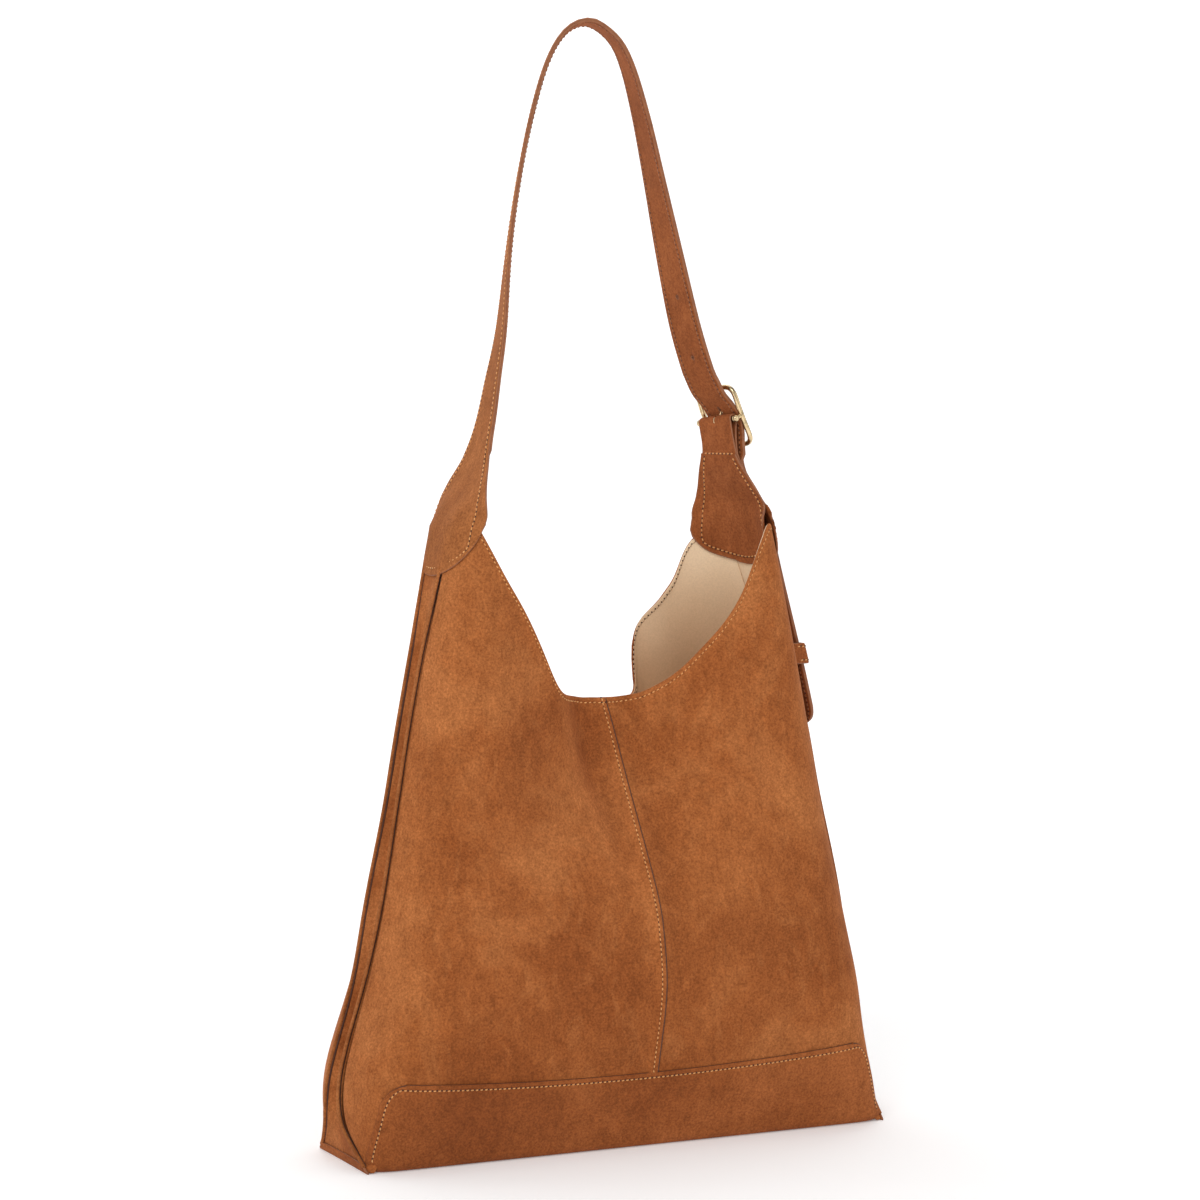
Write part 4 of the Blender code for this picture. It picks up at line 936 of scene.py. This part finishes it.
class Course:
    """A smooth path in the XZ plane, with a heading for the ribbon's width."""

    def __init__(self, rows):
        rows = np.array(rows, float)
        dense = []
        last = len(rows) - 1
        for i in range(last):
            a, b, c, d = (rows[max(min(k, last), 0)] for k in (i - 1, i, i + 1, i + 2))
            for t in np.linspace(0, 1, 24, endpoint=i == last - 1):
                dense.append(0.5 * (2 * b + (c - a) * t + (2 * a - 5 * b + 4 * c - d) * t**2
                                    + (3 * b - a - 3 * c + d) * t**3))
        self.rows = np.array(dense)
        soften(self.rows, 6)
        steps = np.hypot(*np.diff(self.rows[:, :2], axis=0).T)
        self.run = np.concatenate([[0], np.cumsum(steps)])
        self.length = float(self.run[-1])

    def read(self, s):
        return np.array([np.interp(s, self.run, self.rows[:, k]) for k in range(3)])

    def at(self, s):
        """Centre, tangent, width and outward direction at distance s along the path."""
        x, z, turn = self.read(s)
        near = min(max(s, 1e-3), self.length - 1e-3)
        dx, dz, _ = self.read(near + 1e-3) - self.read(near - 1e-3)
        tangent = np.array([dx, 0, dz]) / math.hypot(dx, dz)
        turn = math.radians(turn)
        width = np.array([math.sin(turn), math.cos(turn), 0])
        width -= tangent * width.dot(tangent)
        width /= np.linalg.norm(width)
        over = s if s < 0 else max(s - self.length, 0)
        return np.array([x, 0, z]) + tangent * over, tangent, width, np.cross(width, tangent)


TURN = -math.atan(TURN_SLOPE)
ALONG = np.array([-math.sin(BAR_LEAN), 0, math.cos(BAR_LEAN)])
WIDTH = np.array([math.sin(TURN), math.cos(TURN), 0])
WIDTH -= ALONG * WIDTH.dot(ALONG)
WIDTH /= np.linalg.norm(WIDTH)
OUT = np.cross(ALONG, WIDTH)
OUT *= np.sign(OUT[0])
CENTRE = np.array([BAR[0], 0, BAR[1]])


def from_bar(u, n, w=0.0):
    return CENTRE + ALONG * u + OUT * n + WIDTH * w


def across_positions():
    """Positions from -1 to 1 across a strap, close together at its edges."""
    half, fine = 0.016, 0.0045
    edge = np.arange(0, fine, 0.0006)
    p = np.concatenate([-half + edge, np.linspace(-half + fine, half - fine, 12), half - edge[::-1]])
    return p / half


def groove_at(from_edge):
    """Groove under the stitches and a rounded edge."""
    return -0.00028 * bell(from_edge, 0.0030, 0.0006) - 0.0004 * np.exp(-from_edge / 0.0007)


def edge_shape(p, half):
    return groove_at((1 - np.abs(p)) * half)


def lay(name, rows, outs, thickness, material, replaced, holes):
    """A strap layer from rows of points and outward directions, bent across the swing joint."""
    p, o = np.array(rows), np.array(outs)
    obj = skin(name, p, p - o * 0.01, [material, EDGE], thickness, 1)
    for hole in holes:
        cut = obj.modifiers.new("Hole", "BOOLEAN")
        cut.operation = "DIFFERENCE"
        cut.solver = "EXACT"
        cut.object = hole
    graph = bpy.context.evaluated_depsgraph_get()
    graph.update()
    fresh = bpy.data.meshes.new_from_object(obj.evaluated_get(graph))
    obj.modifiers.clear()
    obj.data = fresh
    for node in replaced:
        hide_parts(node)
    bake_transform(obj)
    return p, grid_normals(p, p - o)


def leaf_half(z, side):
    return curve(LEFT_WIDTH if side < 0 else RIGHT_WIDTH, z)


# height, half width: the edges of the right-hand strap end's inner side, and its outer side's front edge
INNER_BACK = [(0.40, 0.047), (0.430, 0.0465), (0.443, 0.042), (0.455, 0.037), (0.469, 0.0275), (0.483, 0.0192),
              (0.490, 0.0164), (0.497, 0.016)]
INNER_FRONT = [(0.40, 0.044), (0.443, 0.042), (0.448, 0.0385), (0.455, 0.032), (0.460, 0.029), (0.469, 0.0265),
               (0.483, 0.020), (0.490, 0.0168), (0.497, 0.016)]
OUTER_FRONT = [(0.40, 0.044), (0.438, 0.040), (0.448, 0.030), (0.460, 0.0255), (0.469, 0.0243), (0.483, 0.0196),
               (0.490, 0.0168), (0.497, 0.016)]
LEAF_TIP = 0.4085
P_ACROSS = across_positions()
SECTIONS = {}


def wrap_cached(q, z, side, off):
    """wrap_rows read from a fine table of heights."""
    if side not in SECTIONS:
        heights = np.arange(0.400, 0.5005, 0.001)
        qs = np.linspace(-0.048, 0.048, 97)
        layers = [[wrap_rows(qs, h, side, o) for h in heights] for o in (0.0, 0.004)]
        SECTIONS[side] = (heights, qs, np.array(layers))
    heights, qs, data = SECTIONS[side]
    zi = np.clip((z - heights[0]) / 0.001, 0, len(heights) - 1.001)
    qi = np.clip((q + 0.048) / 0.001, 0, len(qs) - 1.001)
    z0, q0 = int(zi), int(qi)
    tz, tq = zi - z0, qi - q0
    both = []
    for layer in data:
        both.append((layer[z0, q0] * (1 - tq) + layer[z0, q0 + 1] * tq) * (1 - tz)
                    + (layer[z0 + 1, q0] * (1 - tq) + layer[z0 + 1, q0 + 1] * tq) * tz)
    return both[0] + (both[1] - both[0]) * (off / 0.004)


def strap_end(side, off, scale, tip, top, upper_rows=(), groove=True, wide=0.445, round_end=(2.2, 0.6),
              droop=0.0, tables=None):
    """Grid of a strap end from its tip to `top`, then upper_rows of (points, outward directions)."""
    p = P_ACROSS
    rounded = np.maximum(1 - np.abs(p) ** round_end[0], 0) ** round_end[1]
    lower = wide - droop * ease(0.3, 1.0, p) - (wide - tip) * rounded
    v = np.concatenate([[0, 0.010, 0.022, 0.036, 0.052, 0.070, 0.09, 0.12, 0.15], np.linspace(0.19, 1, 26)])
    rows, outs = [], []
    for t in v:
        row, out = [], []
        for k, pk in enumerate(p):
            z = lower[k] + (top - lower[k]) * t
            half = float(curve(tables[int(pk < 0)], z) if tables else leaf_half(z, side)) * scale
            q = pk * half
            from_tip = (z - lower[k]) * 0.9 + (0.02 if z > wide else 0)
            from_edge = min((1 - abs(pk)) * half, from_tip)
            shape = float(groove_at(from_edge)) if groove else 0.0
            row.append(wrap_cached(q, z, side, float(off(z)) + shape))
            out.append((side, 0.0, 0.0))
        rows.append(row)
        outs.append(out)
    for row, out in upper_rows:
        rows.append(row)
        outs.append(out)
    return rows, outs


STITCH_ROW = 4
STITCH_COLUMN = 5


def outline(p, n, stop=None):
    """The stitch line round a strap end: up one edge, round the tip, and up the other."""
    left, right = STITCH_COLUMN, p.shape[1] - 1 - STITCH_COLUMN
    path, norm = (np.concatenate([g[STITCH_ROW:stop, left][::-1], g[STITCH_ROW, left + 1:right],
                                  g[STITCH_ROW:stop, right]]) for g in (p, n))
    soften(path, 4)
    return path + norm * 0.0001, norm


def strap_course():
    rows = list(STRAP_PATH)
    rows[0] = (-0.1024, 0.490, 0)
    rows[1] = (-0.0955, 0.516, 4)
    for u, n in ((0.031, 0.0001), (0.0205, 0.0014), (0.010, 0.0050), (0.0, 0.0068), (-0.010, 0.0050),
                 (-0.018, 0.0018), (-0.0262, -0.0010)):
        p = from_bar(u, n)
        rows.append((p[0], p[2], math.degrees(TURN)))
    return Course(rows)


COURSE = strap_course()
PRONG_HOLE = 0.0058           # the prong's hole is this far below the strap's crossing of the bar
HOLE_PITCH = 0.045


def hole_cutters():
    """Rods that cut the strap's holes: the one the prong is in, pulled long, and two spare ones."""
    top = from_bar(0, 0.0068)
    bar_s = float(COURSE.run[np.argmin(np.hypot(COURSE.rows[:, 0] - top[0], COURSE.rows[:, 1] - top[2]))])
    made = []
    for k, reach, radius in ((1, 0.006, 0.0019), (2, 0.006, 0.0019), (0, 0.007, 0.0017)):
        centre, tangent, _, normal = COURSE.at(bar_s - PRONG_HOLE - k * HOLE_PITCH)
        rod = tube("cut", [centre - normal * reach, centre + normal * reach], radius, EDGE, 20)
        if k == 0:
            for v in rod.data.vertices:
                v.co = v.co + Vector(tangent) * (v.co - Vector(centre)).dot(Vector(tangent)) * 1.6
        made.append(rod)
    return made


def over_the_top(p, s, outer):
    """One row of a strap layer at distance s along its path: its points and outward directions."""
    centre, _, width, normal = COURSE.at(float(s))
    out_way = normal if np.dot(normal, centre - np.array([0, 0, 0.60])) > 0 else -normal
    half = 0.016 if s > 0.075 else float(leaf_half(0.490 + s * 0.93, -1))
    row = [centre + width * pk * half + out_way * layer_lift(pk, half, outer) for pk in p]
    return row, [out_way] * len(p)


def tail_row(p, z, outer):
    """One row of the tail, which hangs down the right-hand side and ends round."""
    out_low, out_high = 0.0052, (2 * LAYER + 0.00105) * 1.06
    x0 = float(corner_x(z, 1)) + LEAN * z
    off = out_low + (out_high - out_low) * float(ease(0.444, 0.488, z))
    ahead = (float(corner_x(z - 0.002, 1)) - float(corner_x(z + 0.002, 1)) + LEAN * -0.004) / 0.004
    out_way = np.array([1.0, 0, ahead]) / math.hypot(1, ahead)
    end = max(0.0, (TAIL_ROUND_Z - z) / 0.0127)
    half = max(0.0155 * math.sqrt(1 - min(end, 0.995) ** 2), 0.0022) if z < TAIL_ROUND_Z else 0.0158
    width = np.array([0.0, 1.0, 0.0])
    row = [np.array([x0 + off, 0, z]) + width * pk * half + out_way * layer_lift(pk, half, outer) for pk in p]
    return list(shift_strap_end(np.array(row))), [out_way] * len(p)


def layer_lift(pk, half, outer):
    return LAYER + 0.00004 + float(edge_shape(pk, half)) if outer else -0.00004


def outer_offset(z):
    return LAYER + 0.0002 * (1 - float(ease(0.448, 0.462, z)))


TAIL_ROUND_Z = 0.305


def strap():
    """Both layers of the strap, from the end sewn to the bag's left, over the top, to the tail."""
    p = P_ACROSS
    stations = np.concatenate([np.arange(0.006, 0.10, 0.004), np.arange(0.10, COURSE.length - 0.06, 0.006),
                               np.arange(COURSE.length - 0.06, COURSE.length + 0.0005, 0.0025)])
    tail_z = np.concatenate([np.arange(0.486, 0.306, -0.004), np.linspace(TAIL_ROUND_Z, 0.2925, 12)])
    cutters = hole_cutters()

    def inner_offset(z):
        return -0.00004 - (LINING_DEPTH + 0.0016) * (1 - float(ease(0.4425, 0.470, z)))

    def layer(outer):
        upper = [over_the_top(p, s, outer) for s in stations] + [tail_row(p, z, outer) for z in tail_z]
        offset, scale = (outer_offset, 1.0) if outer else (inner_offset, 0.80)
        tip = LEAF_TIP if outer else LEAF_TIP + 0.004
        return strap_end(-1, offset, scale, tip, SWING_Z, upper, groove=outer)

    grid, normals = lay("strap_outside", *layer(True), LAYER, SUEDE_STRAP,
                        ("strap_outer", "strap_end_outer_left", "tail_outer"), cutters)
    inner_grid, inner_normals = lay("strap_inside", *layer(False), LAYER, SUEDE_INNER,
                                    ("strap_inner", "strap_end_inner_left", "tail_inner"), cutters)
    for rod in cutters:
        bpy.data.objects.remove(rod)
    obj = stitches("stitching_strap_outside", [outline(grid, normals)], THREAD)
    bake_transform(obj)
    lines = []
    for column in (STITCH_COLUMN, len(p) - 1 - STITCH_COLUMN):
        line, away = (g[38:-3, column] for g in (inner_grid, inner_normals))
        lines.append((line - away * (LAYER + 0.0001), -away))
    obj = stitches("stitching_strap_inside", lines, THREAD_DIM)
    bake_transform(obj)


def chape():
    """The right-hand strap end: up the inside, round the buckle's bar, and down the outside."""
    p = P_ACROSS
    base = shift_strap_end(points(float(corner_x(SWING_Z, 1)) + LEAN * SWING_Z, 0.0, SWING_Z))
    fold = 0.0025 + 0.0007
    thick = 0.0014
    # share of the way from the bend line to the bar, and half the gap between the two sides there
    climb = [(0.06, 0.0008), (0.2, 0.0011), (0.36, 0.0015), (0.5, 0.0019), (0.62, 0.0023), (0.74, 0.0027),
             (0.84, 0.0030), (0.92, 0.0032), (0.97, 0.0032)]
    upper = [(base + (CENTRE - base) * t, -OUT, spread + thick / 2) for t, spread in climb]
    for a in np.linspace(math.pi, 0, 13):
        upper.append((CENTRE, OUT * math.cos(a) + ALONG * math.sin(a), fold + thick / 2))
    upper += [(base + (CENTRE - base) * t, OUT, spread + thick / 2) for t, spread in reversed(climb)]
    slot = tube("cut", [from_bar(-0.0045, 0), from_bar(0.0105, 0)], 0.0021, EDGE, 4)
    rows, outs = [], []
    for centre, out, lift in upper:
        half = float(leaf_half(centre[2], 1))
        tilt = float(ease(0.0, 0.6, (centre[2] - SWING_Z) / (BAR[1] - SWING_Z)))
        width = np.array([-TURN_SLOPE, 1, 0]) * (1 - tilt) + WIDTH / math.cos(TURN) * tilt
        lifts = [lift + float(edge_shape(pk, half)) * 0.6 for pk in p]
        rows.append([centre + width * pk * half + out * high for pk, high in zip(p, lifts)])
        outs.append([out] * len(p))

    def inner_offset(z):
        return -0.0001 - LAYER - (LINING_DEPTH + 0.0016) * (1 - float(ease(0.4425, 0.458, z)))

    inner = strap_end(1, inner_offset, 1.0, LEAF_TIP + 0.002, 0.4905, wide=0.4425, round_end=(2.0, 0.75),
                      droop=0.0085, tables=(INNER_BACK, INNER_FRONT))
    outer = strap_end(1, outer_offset, 1.0, LEAF_TIP, 0.4905, tables=(RIGHT_WIDTH, OUTER_FRONT))
    rows = inner[0] + rows + outer[0][::-1]
    outs = [[(-x, -y, -z) for x, y, z in out] for out in inner[1]] + outs + outer[1][::-1]
    grid, normals = lay("strap_end_right", rows, outs, thick, SUEDE_INNER,
                        ("chape", "strap_end_outer_right", "strap_end_inner_right"), [slot])
    bpy.data.objects.remove(slot)
    cross = len(inner[0])
    lines = [outline(grid, normals, cross - 1), outline(grid[::-1], normals[::-1], cross + 6)]
    lines.append((grid[cross, 3:-3] + normals[cross, 3:-3] * 0.0001, normals[cross, 3:-3]))
    obj = stitches("stitching_strap_end_right", lines, THREAD)
    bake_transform(obj)


def buckle():
    half_width, half_length = 0.0198, 0.0225
    squareness = 0.36
    line = []
    for a in np.arange(96) * math.tau / 96:
        w = half_width * math.copysign(abs(math.cos(a)) ** squareness, math.cos(a))
        u = half_length * math.copysign(abs(math.sin(a)) ** squareness, math.sin(a))
        line.append(from_bar(u, 0.0066 - 0.0008 * math.cos(math.pi * u / half_length), w))
    line = np.array(line)
    for _ in range(5):
        line = (np.roll(line, 1, 0) + 2 * line + np.roll(line, -1, 0)) / 4
    run = np.concatenate([[0], np.cumsum(np.linalg.norm(np.roll(line, -1, 0) - line, axis=1))])
    closed = np.concatenate([line, line[:1]])
    at = np.linspace(0, run[-1], 121)[:-1]
    line = np.stack([np.interp(at, run, closed[:, k]) for k in range(3)], 1)
    ring = tube("buckle_ring", line, 0.0019, BRASS, 16, True)
    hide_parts("buckle_frame")
    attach(ring, "buckle_frame")
    side = [(-0.0197, 0.0056), (-0.0197, 0.0044), (-0.0194, 0.0030), (-0.0190, 0.0012), (-0.0180, 0.0002),
            (-0.0165, 0)]
    side += [(-w, n) for w, n in side[::-1]]
    bar = tube("buckle_bar", [from_bar(0, n, w) for w, n in side], 0.0016, BRASS, 16)
    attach(bar, "buckle_frame")
    knob = [(-0.0024, 0.0012), (-0.0022, 0.0018), (-0.0016, 0.0023), (-0.0008, 0.0026), (0, 0.0027)]
    knob += [(-d, r) for d, r in knob[-2::-1]]
    for w, word in ((-0.0190, "front"), (0.0190, "back")):
        middles = [from_bar(0, 0, w + d) for d, _ in knob]
        ball = tube("buckle_knob_" + word, middles, [r for _, r in knob], BRASS, 18)
        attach(ball, "buckle_frame")
    ring_r = 0.0016 + 0.0011 + 0.00025
    turns = np.radians(np.linspace(140, 425, 30))
    path = [from_bar(ring_r * math.cos(a), ring_r * math.sin(a)) for a in turns]
    rise = [(0.0030, 0.0044), (0.0040, 0.0055), (0.0052, 0.0068), (0.0066, 0.0083), (0.0082, 0.0098),
            (0.0100, 0.0111), (0.0125, 0.0122), (0.0160, 0.0129), (0.0205, 0.0131), (0.0240, 0.0129),
            (0.0258, 0.0126), (0.0264, 0.0124)]
    path += [from_bar(u, n) for u, n in rise]
    path = np.array(path)
    soften(path, 2)
    radii = np.full(len(path), 0.0011)
    radii[-6:] = (0.0011, 0.0011, 0.00105, 0.0010, 0.0008, 0.0004)
    prong = tube("prong", path, radii, BRASS, 14)
    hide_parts("buckle_prong")
    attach(prong, "prong")


def keeper():
    outer = 0.0052 + 2 * LAYER + 0.0009
    spots = [(-0.0184, -0.0030), (-0.0183, 0.0020), (-0.0181, outer - 0.0024), (-0.0174, outer - 0.0009),
             (-0.0160, outer - 0.0001), (-0.010, outer + 0.0002), (0, outer + 0.0003)]
    spots += [(-y, x) for y, x in spots[-2::-1]]
    spots = np.array(spots)
    run = np.concatenate([[0], np.cumsum(np.hypot(*np.diff(spots, axis=0).T))])
    at = np.linspace(0, run[-1], 70)
    y, x = np.interp(at, run, spots[:, 0]), np.interp(at, run, spots[:, 1])
    soften(y, 3)
    soften(x, 3)
    v = np.concatenate([[0, 0.0006, 0.0012, 0.0020, 0.0026], np.linspace(0.0035, 0.0105, 8),
                        [0.0114, 0.0120, 0.0128, 0.0134, 0.0140]])
    rows = []
    for d in v:
        z = 0.345 - 0.007 + d
        from_edge = min(d, 0.014 - d)
        lift = -0.0003 * float(bell(from_edge, 0.0022, 0.0006)) - 0.0003 * math.exp(-from_edge / 0.0005)
        rows.append(points(float(corner_x(z, 1)) + LEAN * z + x + LAYER + lift, y * 1.04, z))
    p = shift_strap_end(np.array(rows))
    inside = p.mean((0, 1)) - np.array([0.03, 0, 0])
    obj = skin("keeper", p, inside, [SUEDE_INNER, EDGE], LAYER, 1)
    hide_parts("keeper_loop")
    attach(obj, "bag")
    n = grid_normals(p, inside)
    lines = [(p[r, 4:-4] + n[r, 4:-4] * 0.0001, n[r, 4:-4]) for r in (3, len(v) - 4)]
    stitches("stitching_keeper", lines, THREAD, "bag")


strap()
chape()
buckle()
keeper()


# Camera, floor and light --------------------------------------------------------------------------
def make_camera():
    data = bpy.data.cameras.new("camera")
    camera = bpy.data.objects.new("camera", data)
    bpy.context.scene.collection.objects.link(camera)
    bpy.context.scene.camera = camera
    yaw = math.radians(25.4)
    ahead = Vector((math.sin(yaw), math.cos(yaw), 0))
    right = Vector((math.cos(yaw), -math.sin(yaw), 0))
    camera.location = -ahead * 2.5 + right * -0.006 + Vector((0, 0, 0.554))
    target = right * -0.006 + Vector((0, 0, 0.387))
    camera.rotation_euler = (target - camera.location).to_track_quat("-Z", "Y").to_euler()
    data.lens = 105
    data.sensor_width = 36


def make_light():
    scene = bpy.context.scene
    scene.view_settings.view_transform = "Standard"
    world = bpy.data.worlds.new("studio")
    scene.world = world
    world.use_nodes = True
    world.node_tree.nodes["Background"].inputs["Color"].default_value = (1, 1, 1, 1)
    world.node_tree.nodes["Background"].inputs["Strength"].default_value = 0.50
    for name, where, size, power in (("key", (-1.5, -1.9, 2.1), 1.3, 34), ("fill", (2.3, -1.6, 1.1), 1.8, 8),
                                     ("top", (0.2, 0.5, 2.6), 1.6, 14)):
        data = bpy.data.lights.new(name, "AREA")
        data.size = size
        data.energy = power
        light = bpy.data.objects.new(name, data)
        light.location = where
        light.rotation_euler = (Vector((0, 0, 0.3)) - Vector(where)).to_track_quat("-Z", "Y").to_euler()
        scene.collection.objects.link(light)
    # a white sweep: level under the bag, curving up behind it
    profile = [(-5.0, 0.0), (1.6, 0.0)]
    turns = np.radians(np.linspace(6, 90, 22))
    profile += [(1.6 + 1.2 * math.sin(a), 1.2 - 1.2 * math.cos(a)) for a in turns]
    profile += [(2.8, 4.5)]
    count = len(profile)
    verts = [(x, y, z) for x in (-6, 6) for y, z in profile]
    mesh = bpy.data.meshes.new("floor")
    mesh.from_pydata(verts, [], [(k + 1, k, k + count, k + count + 1) for k in range(count - 1)])
    mesh.polygons.foreach_set("use_smooth", [True] * len(mesh.polygons))
    floor = bpy.data.objects.new("floor", mesh)
    scene.collection.objects.link(floor)
    made = Surface("floor", 0.9)
    made.set(Base_Color=(0.90, 0.90, 0.90, 1), Emission_Color=(1, 1, 1, 1))
    # the sweep glows as painted light, more strongly away from the bag, so that the sweep stays white but the
    # bag's shadow shows
    away = made.nodes.new("ShaderNodeVectorMath")
    away.operation = "LENGTH"
    made.links.new(made.where, away.inputs[0])
    glow = made.spread(away.outputs["Value"], From_Min=0.5, From_Max=1.5, To_Min=0.17, To_Max=0.42)
    made.links.new(glow, made.shader.inputs["Emission Strength"])
    mesh.materials.append(made.material)


make_camera()
make_light()
